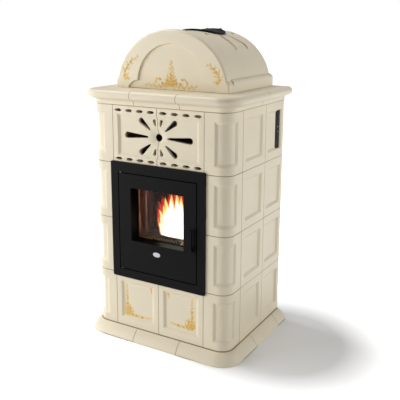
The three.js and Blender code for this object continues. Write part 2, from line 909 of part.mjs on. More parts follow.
// An outline run back from the front face with that face's edge rounded over.
function roundedPrism(shape, front, back) {
  const bevelled = new THREE.ExtrudeGeometry(shape, {
    depth: back - front, bevelThickness: slabRound, bevelSize: slabRound, bevelSegments: petalSteps,
    curveSegments: petalSteps,
  });
  return bevelled.rotateX(Math.PI / 2).translate(0, back + slabRound, 0);
}

function archPanel() {
  const panel = new THREE.Shape();
  const springZ = domeLow + archSpring;
  const footZ = domeLow + archFootHeight;
  panel.moveTo(archFootHalfWidth, domeLow - overrun);
  panel.lineTo(archFootHalfWidth, domeLow);
  panel.quadraticCurveTo(archFootHalfWidth - archFootHeight / 2, footZ, archHalfWidth, footZ);
  panel.absarc(0, springZ, archHalfWidth, Math.asin(archFootHeight / archHalfWidth), Math.PI
    - Math.asin(archFootHeight / archHalfWidth));
  panel.lineTo(-archHalfWidth, footZ);
  panel.quadraticCurveTo(-archFootHalfWidth + archFootHeight / 2, footZ, -archFootHalfWidth, domeLow);
  panel.lineTo(-archFootHalfWidth, domeLow - overrun);
  return panel;
}

function domeSlab() {
  const back = domeFront + slabThickness;
  const arch = roundedPrism(
    vaultShape(slabHalfWidth - slabRound, slabHeight - slabRound, slabRound * 2), domeFront, back);
  const base = roundedPrism(rollShape(slabRound), domeFront, back);
  const body = common(join(arch, base), aboveCornice(domeFront - overrun, back));
  return cut(body, prismY(archPanel(), [domeFront - overrun, domeFront + archDepth], arcSteps));
}

function mouthTools() {
  const through = [domeLow + vaultHeight / 2, domeLow + 2 * vaultHeight];
  return [
    prismZ(ellipseShape(0, mouthCentre, mouthHalfWidth, mouthHalfDepth), through, arcSteps),
    block([-mouthNotchHalfWidth, mouthNotchHalfWidth],
      [mouthCentre, lidHingeY + lugRadius + overrun], through),
  ];
}

function petalGrooves(run) {
  const through = [domeLow, domeLow + 2 * vaultHeight];
  const core = vaultPrism(-petalGrooveDepth, run, overrun);
  const fourWays = (angle) => [angle, -angle, 180 - angle, 180 + angle];
  const petals = fourWays(petalGrooveAngle).map((angle) => prismZ(petalShape(petalGrooveRoot,
    petalGrooveTip, petalGrooveRootRadius, petalGrooveTipRadius, angle, 0, mouthCentre), through));
  const dimples = fourWays(dimpleAngle).map(THREE.MathUtils.degToRad).map((turn) => rodZ(dimpleRadius,
    through, dimpleReach * Math.cos(turn), mouthCentre + dimpleReach * Math.sin(turn), roundSides));
  return [...petals, ...dimples].map((tool) => cut(tool, core));
}

function domeVault() {
  const front = domeFront + slabThickness + seat;
  const roll = prismY(rollShape(0), [front, bodyDepth], arcSteps);
  const body = common(join(vaultPrism(0, [front, bodyDepth], overrun), roll),
    aboveCornice(front, bodyDepth));
  const room = vaultPrism(-vaultWall, [front - overrun, bodyDepth - vaultRearWall], overrun);
  return cut(body, room, ...mouthTools(), ...petalGrooves([0, bodyDepth + overrun]));
}

function hopperLid() {
  const run = [0, 2 * bodyDepth];
  const through = [domeLow, domeLow + 2 * vaultHeight];
  const skin = cut(vaultPrism(lidThickness, run, overrun),
    vaultPrism(seat, [-overrun, run[1] + overrun], 2 * overrun));
  const oval = common(skin, prismZ(ellipseShape(0, mouthCentre, lidHalfWidth, lidHalfDepth), through, arcSteps));
  const dish = cut(prismZ(ellipseShape(0, mouthCentre, lidHalfWidth - lidRim, lidHalfDepth - lidRim),
    through, arcSteps), vaultPrism(lidThickness - lidDish, run, overrun));
  const knuckleSpan = [-lidKnuckleHalfWidth, lidKnuckleHalfWidth];
  const pinEnd = lidKnuckleHalfWidth + lidPinReach;
  const top = lidHingeZ - lidHingeRise;
  const tongue = block(knuckleSpan, [lidHingeY - 2 * lidHingeBehind, lidHingeY],
    [top + seat, top + lidThickness - lidDish]);
  return join(cut(oval, dish), tongue,
    rodX(lidKnuckleRadius, knuckleSpan, lidHingeY, lidHingeZ),
    rodX(lidPinRadius, [-pinEnd, pinEnd], lidHingeY, lidHingeZ));
}

// Door surround, door, glass and their fittings

function doorSurround() {
  const face = prismY(roundedBox(-surroundWidth / 2, surroundWidth / 2, surroundLow, surroundHigh,
    surroundRound), [-surroundProud, -running]);
  const lips = block([-lipHalfWidth, lipHalfWidth], [-surroundProud, flangeFront - seat],
    [openingLow - lipThickness, openingHigh + lipThickness]);
  const opening = block([-openingHalfWidth, openingHalfWidth],
    [-surroundProud - overrun, flangeFront + overrun], [openingLow, openingHigh]);
  const rodHole = rodZ(hingeRodRadius + running,
    [openingLow - hingeRodBite, openingHigh + hingeRodBite], hingeX, hingeY);
  const keeperFront = doorBack + keeperSetback;
  const keeperTop = spindleHeight - tongueWidth / 2 - keeperGap;
  const keeper = block([openingHalfWidth - keeperReach, openingHalfWidth + lipThickness / 2],
    [keeperFront, keeperFront + keeperThickness], [keeperTop - keeperHeight, keeperTop]);
  return join(cut(join(face, lips), opening, rodHole), keeper);
}

function doorPanel() {
  const half = doorHalfWidth;
  const depth = [doorFront, doorBack];
  const skinBack = doorFront + doorSkin;
  const shell = cut(block([-half, half], depth, [doorLow, doorHigh]),
    block([-half + doorSkin, half - doorSkin], [skinBack, doorBack + overrun],
      [doorLow + doorSkin, doorHigh - doorSkin]));
  const revealHalf = windowWidth / 2 + windowRevealWall;
  const reveal = block([-revealHalf, revealHalf], [skinBack - doorSkin / 2, revealBack],
    [windowLow - windowRevealWall, windowHigh + windowRevealWall]);
  const landHalf = fireOpeningWidth / 2 + sealInset + sealLandWidth / 2;
  const landLow = fireOpeningLow - sealInset - sealLandWidth / 2;
  const landHigh = fireOpeningHigh + sealInset + sealLandWidth / 2;
  const landBack = flangeFront - 2 * (sealRadius + seat);
  const land = cut(block([-landHalf, landHalf], [skinBack - doorSkin / 2, landBack], [landLow, landHigh]),
    block([-landHalf + sealLandWidth, landHalf - sealLandWidth], [skinBack, landBack + overrun],
      [landLow + sealLandWidth, landHigh - sealLandWidth]));
  const barrel = block([-half, -half + hingeBarrel], [doorFront, doorFront + hingeBarrel],
    [doorLow, doorHigh]);
  const escutcheon = block(about(spindleX, escutcheonWidth),
    [doorFront - escutcheonThickness, skinBack], about(spindleHeight, escutcheonHeight));
  const window = prismY(roundedBox(-windowWidth / 2, windowWidth / 2, windowLow, windowHigh, windowRound),
    [doorFront - overrun, revealBack + overrun]);
  return cut(join(shell, reveal, land, barrel, escutcheon), window,
    rodZ(hingeRodRadius + running, [doorLow - overrun, doorHigh + overrun], hingeX, hingeY),
    rodY(spindleRadius + running, [doorFront - overrun, skinBack + overrun], spindleX, spindleHeight));
}

function doorGlass() {
  const half = windowWidth / 2 + glassLap;
  return block([-half, half], [revealBack + seat, revealBack + seat + glassThickness],
    [windowLow - glassLap, windowHigh + glassLap]);
}

function glassRetainer() {
  const grow = glassLap + retainerLap;
  const front = revealBack + 2 * seat + glassThickness;
  const depth = [front, front + retainerThickness];
  const half = windowWidth / 2 + grow;
  return cut(block([-half, half], depth, [windowLow - grow, windowHigh + grow]),
    block([-half + retainerBand, half - retainerBand], [front - overrun, depth[1] + overrun],
      [windowLow - grow + retainerBand, windowHigh + grow - retainerBand]));
}

// A rope seal laid round the door's inner land.
function doorSeal() {
  const half = fireOpeningWidth / 2 + sealInset;
  const low = fireOpeningLow - sealInset;
  const high = fireOpeningHigh + sealInset;
  const y = flangeFront - seat - sealRadius;
  const corners = [[half, low, -90], [half, high, 0], [-half, high, 90], [-half, low, 180]];
  const stations = corners.flatMap(([x, z, start]) => [0, 1, 2, 3].map((i) => {
    const turn = THREE.MathUtils.degToRad(start + 30 * i);
    const centreX = x - Math.sign(x) * sealBend;
    const centreZ = z === low ? z + sealBend : z - sealBend;
    return { x: centreX, z: centreZ, nx: Math.cos(turn), nz: Math.sin(turn) };
  }));
  const rings = stations.map((s) => Array.from({ length: smallSides }, (_, i) => {
    const turn = 2 * Math.PI * (i / smallSides);
    const out = sealBend + sealRadius * Math.cos(turn);
    return [s.x + s.nx * out, y + sealRadius * Math.sin(turn), s.z + s.nz * out];
  }));
  return loft(rings, [], true);
}

function badge() {
  return prismY(ellipseShape(0, badgeHeight, badgeHalfWidth, badgeHalfHeight),
    [doorFront - seat - badgeThickness, doorFront - seat], arcSteps);
}

function hingeRod() {
  return rodZ(hingeRodRadius, [openingLow - hingeRodBite + seat, openingHigh + hingeRodBite - seat],
    hingeX, hingeY);
}

// Lever, spindle and latch tongue turn together on the spindle's centre line.
function doorHandle() {
  const face = doorFront - escutcheonThickness;
  const leverBack = face - leverStandoff;
  const lever = [leverBack - leverThickness, leverBack];
  const tongueFront = doorBack + keeperSetback + keeperThickness + keeperGap;
  const tongueSpan = [tongueFront, tongueFront + tongueThickness];
  const top = spindleHeight + leverHeight - leverTipRadius;
  const grip = new THREE.Shape();
  grip.absarc(spindleX, top, leverTipRadius, 0, Math.PI);
  grip.lineTo(spindleX - leverWidth / 2, spindleHeight);
  grip.absarc(spindleX, spindleHeight, leverBossRadius, Math.PI, 2 * Math.PI);
  grip.lineTo(spindleX + leverWidth / 2, spindleHeight + leverBossRadius);
  const tongue = new THREE.Shape();
  tongue.moveTo(spindleX, spindleHeight - tongueWidth / 2);
  tongue.lineTo(spindleX + tongueReach, spindleHeight - tongueWidth / 2);
  tongue.lineTo(spindleX + tongueReach, spindleHeight + tongueWidth / 2);
  tongue.lineTo(spindleX, spindleHeight + tongueWidth / 2);
  return join(prismY(grip, lever), prismY(tongue, tongueSpan),
    rodY(spindleRadius, [leverBack - overrun, tongueSpan[1]], spindleX, spindleHeight));
}

// Firebox and what stands in it

// A square duct that runs down from the auger's end to the mouth over the burn pot.
function chuteBar(width, before, after) {
  const startY = augerEndY + chuteBackset * Math.cos(augerSlope);
  const startZ = augerEndZ - chuteBackset * Math.sin(augerSlope);
  const length = Math.hypot(startY - chuteMouthY, startZ - chuteMouthZ);
  const tilt = Math.atan2(startZ - chuteMouthZ, startY - chuteMouthY);
  const bar = block(about(0, width), [-before, length + after], about(0, width));
  return bar.rotateX(Math.PI + tilt).translate(0, startY, startZ);
}

// Trims the chute's lower lip level, so that pellets drop straight out of it.
function chuteMouthTool() {
  const reach = chuteWidth;
  return block(about(0, chuteWidth + 2 * overrun), about(chuteMouthY, 2 * reach),
    [chuteMouthZ - reach, chuteMouthZ + chuteMouthTrim]);
}

function firebox() {
  const openingHalf = fireOpeningWidth / 2;
  const flange = block([-lipHalfWidth, lipHalfWidth], [flangeFront, flangeBack],
    [openingLow - lipThickness, openingHigh + lipThickness]);
  const box = block([-fireboxHalfWidth, fireboxHalfWidth], [flangeFront, fireboxBack],
    [fireboxLow, fireboxHigh]);
  const room = block([-fireboxInner, fireboxInner], [flangeBack, fireboxBackInner],
    [fireOpeningLow, fireboxHigh - plate]);
  const mouth = block([-openingHalf, openingHalf], [flangeFront - overrun, flangeBack + overrun],
    [fireOpeningLow, fireOpeningHigh]);
  const wallCut = [fireboxBackInner - overrun, fireboxBack + overrun];
  const smokeWindow = block([smokeShaftLeft + sheet, smokeShaftRight - sheet], wallCut,
    [smokeWindowLow, smokeShaftHigh - sheet]);
  const intakeHole = rodY(intakeRadius - sheet, wallCut, intakeX, intakeZ, roundSides);
  const igniterHole = rodY(igniterRadius + running, wallCut, 0, igniterZ);
  const shell = cut(join(flange, box), room, mouth, smokeWindow, intakeHole, igniterHole,
    chuteBar(chuteWidth + 2 * running, 0, overrun));
  const ledgeTop = hearthTop - hearthThickness - seat;
  const ledges = [-1, 1].map((side) => {
    const inner = side * (fireboxInner - ledgeWidth);
    const outer = side * (fireboxInner + plate / 2);
    return block([Math.min(inner, outer), Math.max(inner, outer)], [linerFront, fireboxBack],
      [ledgeTop - ledgeHeight, ledgeTop]);
  });
  return join(shell, ...ledges);
}

// A flat channel against the firebox's back, open to it above the floor and closed below it.
function smokeDuct() {
  const depth = [fireboxBack + seat, fireboxBack + smokeShaftDepth];
  const inner = [smokeShaftLeft + sheet, smokeShaftRight - sheet];
  const high = smokeShaftHigh - sheet;
  return cut(block([smokeShaftLeft, smokeShaftRight], depth, [smokeShaftLow, smokeShaftHigh]),
    block(inner, [depth[0] + sheet, depth[1] - sheet], [smokeShaftLow + sheet, high]),
    block(inner, [depth[0] - overrun, depth[0] + 2 * sheet], [fireOpeningLow, high]),
    rodY(inletRadius, [depth[1] - 2 * sheet, depth[1] + overrun], fanCentreX, fanCentreZ, roundSides));
}

// Cast side and back cheeks of the fire chamber, with upright ribs on both sides.
function fireboxLiner() {
  const outer = chamberHalfWidth + linerThickness;
  const plan = new THREE.Shape();
  plan.moveTo(-outer, linerFront);
  plan.lineTo(-outer, chamberBack + linerThickness);
  plan.lineTo(outer, chamberBack + linerThickness);
  plan.lineTo(outer, linerFront);
  plan.lineTo(chamberHalfWidth, linerFront);
  const ribs = Array.from({ length: linerRibs }, (_, i) => linerRibFirst + i * linerRibPitch);
  ribs.forEach((y) => plan.absarc(chamberHalfWidth, y, linerRibRadius, -Math.PI / 2, Math.PI / 2, true));
  plan.lineTo(chamberHalfWidth, chamberBack);
  plan.lineTo(-chamberHalfWidth, chamberBack);
  ribs.reverse().forEach((y) => plan.absarc(-chamberHalfWidth, y, linerRibRadius, Math.PI / 2,
    -Math.PI / 2, true));
  plan.lineTo(-chamberHalfWidth, linerFront);
  const body = prismZ(plan, [hearthTop + seat, linerHigh]);
  const backCut = [chamberBack - overrun, chamberBack + linerThickness + overrun];
  const vents = [];
  for (let i = 0; i < ventHolesPerRow; i += 1) {
    for (const side of [-1, 1]) {
      const x = side * (ventHoleFirst + i * ventHolePitch);
      const z = ventHoleLow + (i % 2) * ventHoleRise;
      vents.push(rodY(ventHoleRadius, backCut, x, z, smallSides / 2));
    }
  }
  return cut(body, chuteBar(chuteWidth + 2 * running, 0, overrun), ...vents);
}

function baffle() {
  const low = linerHigh + seat;
  const back = chamberBack + linerThickness;
  const half = chamberHalfWidth + linerThickness / 2;
  const side = new THREE.Shape();
  side.moveTo(back, low);
  side.lineTo(back, low + baffleThickness);
  side.lineTo(baffleFront, low + baffleThickness);
  side.lineTo(baffleFront - baffleLipRun, low + baffleThickness + baffleLipRise);
  side.lineTo(baffleFront - baffleLipRun, low + baffleLipRise);
  side.lineTo(baffleFront, low);
  return prismX(side, [-half, half]);
}

// A half-round outline, its flat side to the front.
function potShape(radius, frontGrow) {
  const lift = Math.asin(Math.max(-frontGrow, 0) / radius);
  const shape = new THREE.Shape();
  shape.absarc(0, potCentre, radius, lift, Math.PI - lift);
  if (frontGrow > 0) {
    shape.lineTo(-radius, potCentre - frontGrow);
    shape.lineTo(radius, potCentre - frontGrow);
  }
  return shape;
}

function hearthPlate() {
  const half = chamberHalfWidth + linerThickness;
  const back = chamberBack + linerThickness;
  const depth = [hearthTop - hearthThickness, hearthTop];
  const through = [depth[0] - overrun, depth[1] + overrun];
  const tools = [prismZ(potShape(potRadius + running, running), through, arcSteps / 2)];
  for (let i = 0; i < hearthSlots; i += 1) {
    for (const side of [-1, 1]) {
      const x = side * (hearthSlotFirst + i * hearthSlotPitch);
      tools.push(block(about(x, hearthSlotWidth), [hearthSlotFront, hearthSlotBack], through));
    }
  }
  const combFront = hearthFront + combSlotSetback;
  for (let i = 0; i < combSlots; i += 1) {
    const x = (i - (combSlots - 1) / 2) * combSlotPitch;
    tools.push(block(about(x, hearthSlotWidth), [combFront, combFront + combSlotDepth], through));
  }
  return cut(block([-half, half], [hearthFront, back], depth), ...tools);
}

function burnPot() {
  const seatZ = hearthTop + seat;
  const low = seatZ - potDepth;
  const cup = prismZ(potShape(potRadius, 0), [low, seatZ + potLipHeight], arcSteps / 2);
  const flange = prismZ(potShape(potRadius + potFlange, 0), [seatZ, seatZ + potFlangeThickness],
    arcSteps / 2);
  const inside = prismZ(potShape(potRadius - potWall, -potWall), [low + potWall, seatZ + potLipHeight
    + overrun], arcSteps / 2);
  const floor = [low - overrun, low + potWall + overrun];
  const holes = Array.from({ length: potHoles }, (_, i) => {
    const turn = Math.PI * ((i + 1) / (potHoles + 1));
    return rodZ(potHoleRadius, floor, potHoleRing * Math.cos(turn),
      potCentre + potHoleRing * Math.sin(turn), smallSides / 2);
  });
  const igniterPort = rodY(potHoleRadius, [potCentre + potRadius / 2, potCentre + potRadius + overrun],
    0, igniterZ, smallSides / 2);
  return cut(join(cup, flange), inside, igniterPort, ...holes);
}

function ashDrawer() {
  const low = fireOpeningLow + seat;
  const high = low + drawerHeight;
  const tray = cut(block([-drawerHalfWidth, drawerHalfWidth], [drawerFront, drawerBack], [low, high]),
    block([-drawerHalfWidth + drawerWall, drawerHalfWidth - drawerWall],
      [drawerFront + drawerWall, drawerBack - drawerWall], [low + drawerWall, high + overrun]));
  const pull = block(about(0, drawerPullWidth), [drawerFront - drawerPullDepth, drawerFront + drawerWall / 2],
    [high - drawerPullHeight, high]);
  return join(tray, pull);
}

// Smoke fan, exhaust, air intake and igniter

function voluteShape(inset) {
  const radius = voluteRadius - inset;
  const low = fanCentreZ - radius;
  const left = voluteOutletX - (inset > 0 ? overrun : 0);
  const shape = new THREE.Shape();
  const high = low + voluteOutletHeight - 2 * inset;
  shape.moveTo(left, low);
  shape.lineTo(fanCentreX, low);
  shape.absarc(fanCentreX, fanCentreZ, radius, -Math.PI / 2, Math.PI);
  shape.lineTo(fanCentreX - radius, high);
  shape.lineTo(left, high);
  return shape;
}

function smokeFanHousing() {
  const front = fanFront;
  const back = front + voluteWidth;
  const body = prismY(voluteShape(0), [front, back], arcSteps);
  const room = prismY(voluteShape(sheet), [front + sheet, back - sheet], arcSteps);
  return cut(body, room,
    rodY(inletRadius, [front - overrun, front + 2 * sheet], fanCentreX, fanCentreZ, roundSides),
    rodY(fanShaftRadius + running, [back - 2 * sheet, back + overrun], fanCentreX, fanCentreZ));
}

function smokeImpeller() {
  const back = fanFront + voluteWidth - sheet - impellerClearance;
  const disc = rodY(impellerRadius, [back - bladeThickness, back], fanCentreX, fanCentreZ, roundSides);
  const bladeFront = back - bladeThickness - impellerBladeWidth;
  const hub = rodY(fanHubRadius, [bladeFront, back], fanCentreX, fanCentreZ);
  const shaft = rodY(fanShaftRadius, [back - bladeThickness,
    fanFront + voluteWidth + seat + bladeThickness + fanShaftBite], fanCentreX, fanCentreZ);
  const blades = Array.from({ length: impellerBlades }, (_, i) => {
    const blade = block([impellerBladeRoot, impellerRadius - bladeThickness / 2],
      [bladeFront, back - bladeThickness / 2], about(0, bladeThickness));
    blade.rotateY(2 * Math.PI * (i / impellerBlades));
    return blade.translate(fanCentreX, 0, fanCentreZ);
  });
  return join(disc, hub, shaft, ...blades);
}

function smokeFanMotor() {
  const front = fanFront + voluteWidth + seat;
  const bore = [front - overrun, front + bladeThickness + fanShaftBite + running];
  return cut(join(
    rodY(fanMotorFlangeRadius, [front, front + sheet], fanCentreX, fanCentreZ, roundSides),
    rodY(fanMotorRadius, [front, front + fanMotorLength], fanCentreX, fanCentreZ, roundSides)),
  rodY(fanShaftRadius + running, bore, fanCentreX, fanCentreZ));
}

// Centre line of the exhaust: out of the fan to the left, then round to the back.
function exhaustPath(startExtra, endExtra) {
  const y = fanFront + voluteWidth / 2;
  const z = exhaustZ;
  const start = voluteOutletX - seat - plate;
  const turnX = exhaustX + exhaustBend;
  const path = new THREE.CurvePath();
  path.add(new THREE.LineCurve3(new THREE.Vector3(start + startExtra, y, z), new THREE.Vector3(turnX, y, z)));
  const elbow = Array.from({ length: elbowSteps + 1 }, (_, i) => {
    const turn = -Math.PI / 2 - (Math.PI / 2) * (i / elbowSteps);
    return new THREE.Vector3(turnX + exhaustBend * Math.cos(turn),
      y + exhaustBend + exhaustBend * Math.sin(turn), z);
  });
  elbow.slice(1).forEach((point, i) => path.add(new THREE.LineCurve3(elbow[i], point)));
  path.add(new THREE.LineCurve3(elbow[elbowSteps], new THREE.Vector3(exhaustX, pipeEnd + endExtra, z)));
  return path;
}

// A round bar along a bent line: one ring at each corner, set on the line that halves the bend.
function bentBar(path, radius) {
  const corners = path.curves.map((line) => line.v1).concat(path.curves[path.curves.length - 1].v2);
  const up = new THREE.Vector3(0, 0, 1);
  const rings = corners.map((corner, i) => {
    const before = (i > 0 ? corner.clone().sub(corners[i - 1]) : corners[1].clone().sub(corner)).normalize();
    const after = (i < corners.length - 1 ? corners[i + 1].clone().sub(corner)
      : corner.clone().sub(corners[i - 1])).normalize();
    const side = before.clone().add(after).normalize().cross(up);
    const widen = 1 / Math.sqrt((1 + before.dot(after)) / 2);
    return Array.from({ length: roundSides }, (_, k) => {
      const turn = 2 * Math.PI * (k / roundSides);
      const point = corner.clone().addScaledVector(side, radius * widen * Math.cos(turn));
      return point.addScaledVector(up, radius * Math.sin(turn)).toArray();
    });
  });
  const face = Array.from({ length: roundSides - 2 }, (_, k) => [0, k + 1, k + 2]);
  return loft(rings, face);
}

function exhaustPipe() {
  const start = voluteOutletX - seat;
  const y = fanFront + voluteWidth / 2;
  const flange = block([start - plate, start], about(y, exhaustFlange), about(exhaustZ, exhaustFlange));
  return cut(join(flange, bentBar(exhaustPath(plate / 2, 0), exhaustRadius)),
    bentBar(exhaustPath(plate + overrun, overrun), exhaustRadius - exhaustWall));
}

function airIntakePipe() {
  const run = [fireboxBack + seat, pipeEnd];
  return cut(rodY(intakeRadius, run, intakeX, intakeZ, roundSides),
    rodY(intakeRadius - sheet, [run[0] - overrun, run[1] + overrun], intakeX, intakeZ, roundSides));
}

function igniter() {
  const front = potCentre + potRadius + igniterTipGap;
  const flange = [fireboxBack + seat, fireboxBack + seat + plate];
  return join(rodY(igniterRadius, [front, igniterBack], 0, igniterZ),
    rodY(igniterFlangeRadius, flange, 0, igniterZ));
}

// Hopper and feed auger

function funnel(inset, lowGrow, highGrow) {
  const level = (half, front, back, z) => [
    [-half + inset, front + inset, z], [half - inset, front + inset, z],
    [half - inset, back - inset, z], [-half + inset, back - inset, z]];
  return loft([
    level(feedHalfWidth, feedFront, feedBack, hopperLow + seat - lowGrow),
    level(hopperHalfWidth, hopperFront, hopperBack, hopperShoulder),
    level(hopperHalfWidth, hopperFront, hopperBack, hopperRoof),
    level(hopperNeckHalfWidth, hopperNeckFront, hopperNeckBack, hopperNeckBase),
    level(hopperNeckHalfWidth, hopperNeckFront, hopperNeckBack, hopperNeckTop + highGrow),
  ], quadCaps);
}

function lidLug(side) {
  const inner = lidKnuckleHalfWidth + lugGap;
  const span = side > 0 ? [inner, inner + lugThickness] : [-inner - lugThickness, -inner];
  const ear = new THREE.Shape();
  const foot = hopperNeckTop - 2 * lugRadius;
  ear.moveTo(hopperNeckBack - sheet, foot);
  ear.lineTo(hopperNeckBack, foot);
  ear.lineTo(lidHingeY + lugRadius, lidHingeZ);
  ear.absarc(lidHingeY, lidHingeZ, lugRadius, 0, Math.PI);
  ear.lineTo(hopperNeckBack - sheet, hopperNeckTop);
  return prismX(ear, span);
}

function hopper() {
  const flangeLow = topRingHigh + seat;
  const flange = block([-hopperFlangeHalfWidth, hopperFlangeHalfWidth],
    [hopperFront, hopperBack], [flangeLow, flangeLow + sheet]);
  const shell = cut(join(funnel(0, 0, 0), flange), funnel(sheet, overrun, overrun));
  return cut(join(shell, lidLug(-1), lidLug(1)),
    rodX(lidPinRadius + running, [-hopperHalfWidth, hopperHalfWidth], lidHingeY, lidHingeZ));
}

// Turns a piece that was drawn along Y, with its foot at the origin, up along the auger.
function onAuger(geometry) {
  return geometry.rotateX(Math.PI - augerSlope).translate(0, augerFootY, augerFootZ);
}

const augerRod = (radius, run, sides = roundSides) => onAuger(rodY(radius, run, 0, 0, sides));

function augerTube() {
  const bore = augerTubeRadius - sheet;
  const collarWall = block([-feedHalfWidth, feedHalfWidth], [feedFront, feedBack],
    [augerFootZ + augerTubeRadius, hopperLow]);
  const collarRoom = block([-feedHalfWidth + sheet, feedHalfWidth - sheet],
    [feedFront + sheet, feedBack - sheet], [augerFootZ + augerTubeRadius + sheet, hopperLow + overrun]);
  return cut(join(augerRod(augerTubeRadius, [0, augerLength]), collarWall, chuteBar(chuteWidth, 0, 0)),
    augerRod(bore, [plate, augerLength + overrun]), collarRoom,
    chuteBar(chuteWidth - 2 * sheet, 0, overrun), chuteMouthTool(),
    augerRod(augerShaftRadius + running, [-overrun, plate + overrun]));
}

// One long screw: a round shaft with a flat blade wound along it.
function augerScrew() {
  const from = plate + sheet;
  const to = augerLength - sheet;
  const steps = Math.round(((to - from - sheet) / augerPitch) * augerTurnSteps);
  const rings = Array.from({ length: steps + 1 }, (_, i) => {
    const turn = 2 * Math.PI * (i / augerTurnSteps);
    const y = from + augerPitch * (i / augerTurnSteps);
    const inner = augerShaftRadius / 2;
    return [[inner, y], [augerBladeRadius, y], [augerBladeRadius, y + sheet], [inner, y + sheet]].map(
      ([radius, along]) => [radius * Math.cos(turn), along, radius * Math.sin(turn)]);
  });
  const shaft = rodY(augerShaftRadius, [seat, augerLength + gearboxLength / 2], 0, 0, roundSides);
  return onAuger(join(shaft, loft(rings, quadCaps)));
}

function augerGearmotor() {
  const start = augerLength + seat;
  const box = block(about(0, 2 * gearmotorRadius), [start, start + gearboxLength],
    about(0, 2 * gearmotorRadius));
  const can = rodY(gearmotorRadius - sheet, [start, start + gearmotorLength], 0, 0, roundSides);
  const bore = rodY(augerShaftRadius + running, [start - overrun, augerLength + gearboxLength / 2
    + running], 0, 0, roundSides);
  return onAuger(cut(join(box, can), bore));
}

// Room-air fan

function roomFanHousing() {
  const low = trayLow + plate + seat;
  const room = rotorRadius + rotorClearance;
  const inner = [-roomFanHalfWidth + fanEndWall, roomFanHalfWidth - fanEndWall];
  const side = new THREE.Shape();
  side.moveTo(roomFanFront, low);
  side.lineTo(roomFanBack, low);
  side.lineTo(roomFanBack, roomFanTop);
  side.lineTo(rotorY, roomFanTop);
  side.lineTo(roomFanFront, rotorZ + room);
  const box = prismX(side, [-roomFanHalfWidth, roomFanHalfWidth]);
  const scroll = rodX(room, inner, rotorY, rotorZ, roundSides);
  const intake = block(inner, [roomFanFront - overrun, rotorY], [low + sheet, rotorZ]);
  const outlet = block(inner, [rotorY, roomFanBack - sheet], [rotorZ, roomFanTop + overrun]);
  const motor = rodX(roomMotorRadius, [roomFanHalfWidth - fanEndWall / 2, roomFanHalfWidth
    + roomMotorLength], rotorY, rotorZ, roundSides);
  const bearings = rodX(fanShaftRadius + running, [-roomFanHalfWidth - overrun,
    roomFanHalfWidth + roomMotorLength / 2], rotorY, rotorZ);
  return cut(join(cut(box, scroll, intake, outlet), motor), bearings);
}

function roomFanRotor() {
  const half = roomFanHalfWidth - fanEndWall - rotorClearance;
  const discs = [-half, -rotorDisc / 2, half - rotorDisc].map(
    (x) => rodX(rotorRadius, [x, x + rotorDisc], 0, 0, roundSides));
  const blades = Array.from({ length: rotorBlades }, (_, i) => {
    const blade = block([-half + rotorDisc / 2, half - rotorDisc / 2],
      [rotorRadius - rotorBladeDepth, rotorRadius - rotorBladeThickness], about(0, rotorBladeThickness));
    return blade.rotateX(2 * Math.PI * (i / rotorBlades));
  });
  const shaft = rodX(fanShaftRadius, [-roomFanHalfWidth, roomFanHalfWidth + roomMotorLength / 2
    - running], 0, 0);
  return join(shaft, ...discs, ...blades).translate(0, rotorY, rotorZ);
}

// Frame, rear panel and electrical fittings

function chassis() {
  const trayTop = trayLow + plate;
  const width = [-frameHalfWidth, frameHalfWidth];
  const depth = [frameFront, frameBack];
  const parts = [block(width, depth, [trayLow, trayTop])];
  const ring = [topRingHigh - topRingHeight, topRingHigh];
  const rail = [fireboxLow - seat - railHeight, fireboxLow - seat];
  for (const side of [-1, 1]) {
    const edge = side * frameHalfWidth;
    const bar = (thickness) => [Math.min(edge, edge - side * thickness), Math.max(edge, edge - side * thickness)];
    for (const [corner, inward] of [[frameFront, 1], [frameBack, -1]]) {
      const leg = (length) => [Math.min(corner, corner + inward * length),
        Math.max(corner, corner + inward * length)];
      parts.push(block(bar(postWidth), leg(plate), [trayLow, topRingHigh]));
      parts.push(block(bar(plate), leg(postWidth), [trayLow, topRingHigh]));
      parts.push(rodZ(footRadius, [0, trayTop], edge - side * footInset, corner + inward * footInset));
    }
    parts.push(block(bar(railWidth), depth, rail));
    parts.push(block(bar(postWidth), depth, ring));
  }
  for (const front of [crossRailFront, crossRailBack]) {
    parts.push(block(width, [front, front + railWidth], rail));
  }
  parts.push(block(width, [frameFront, frameFront + postWidth], ring));
  parts.push(block(width, [frameBack - postWidth, frameBack], ring));
  return join(...parts);
}

function rearPanel() {
  const half = innerHalfWidth - running;
  const through = [rearFace - overrun, bodyDepth + overrun];
  const tools = [
    rodY(exhaustRadius + running, through, exhaustX, exhaustZ, roundSides),
    rodY(intakeRadius + running, through, intakeX, intakeZ, roundSides),
    block(about(inletX, inletWidth - 2 * inletBezel), through, about(inletZ, inletHeight - 2 * inletBezel)),
  ];
  for (let row = 0; row < louvreRows; row += 1) {
    for (const side of [-1, 1]) {
      tools.push(block(about(side * louvreX, louvreWidth), through,
        about(louvreLow + row * louvrePitch, louvreHeight)));
    }
  }
  return cut(block([-half, half], [rearFace, rearFace + rearPanelThickness], [plinthHeight + seat, corniceTop
    - shelfThickness - seat]), ...tools);
}

function powerInlet() {
  const back = rearFace + rearPanelThickness + seat;
  const bezel = block(about(inletX, inletWidth), [back, back + inletBezel], about(inletZ, inletHeight));
  const body = block(about(inletX, inletWidth - 2 * inletBezel - 2 * seat), [back - inletDepth, back
    + inletBezel / 2], about(inletZ, inletHeight - 2 * inletBezel - 2 * seat));
  const face = back + inletBezel + overrun;
  const socket = block(about(inletX, socketWidth), [back - socketDepth, face],
    about(inletZ - socketDrop, socketHeight));
  const rockerRoom = block(about(inletX, rockerWidth + 2 * running), [back - rockerDepth, face],
    about(inletZ + rockerRise, rockerHeight + 2 * running + rockerCrown));
  return cut(join(bezel, body), socket, rockerRoom);
}

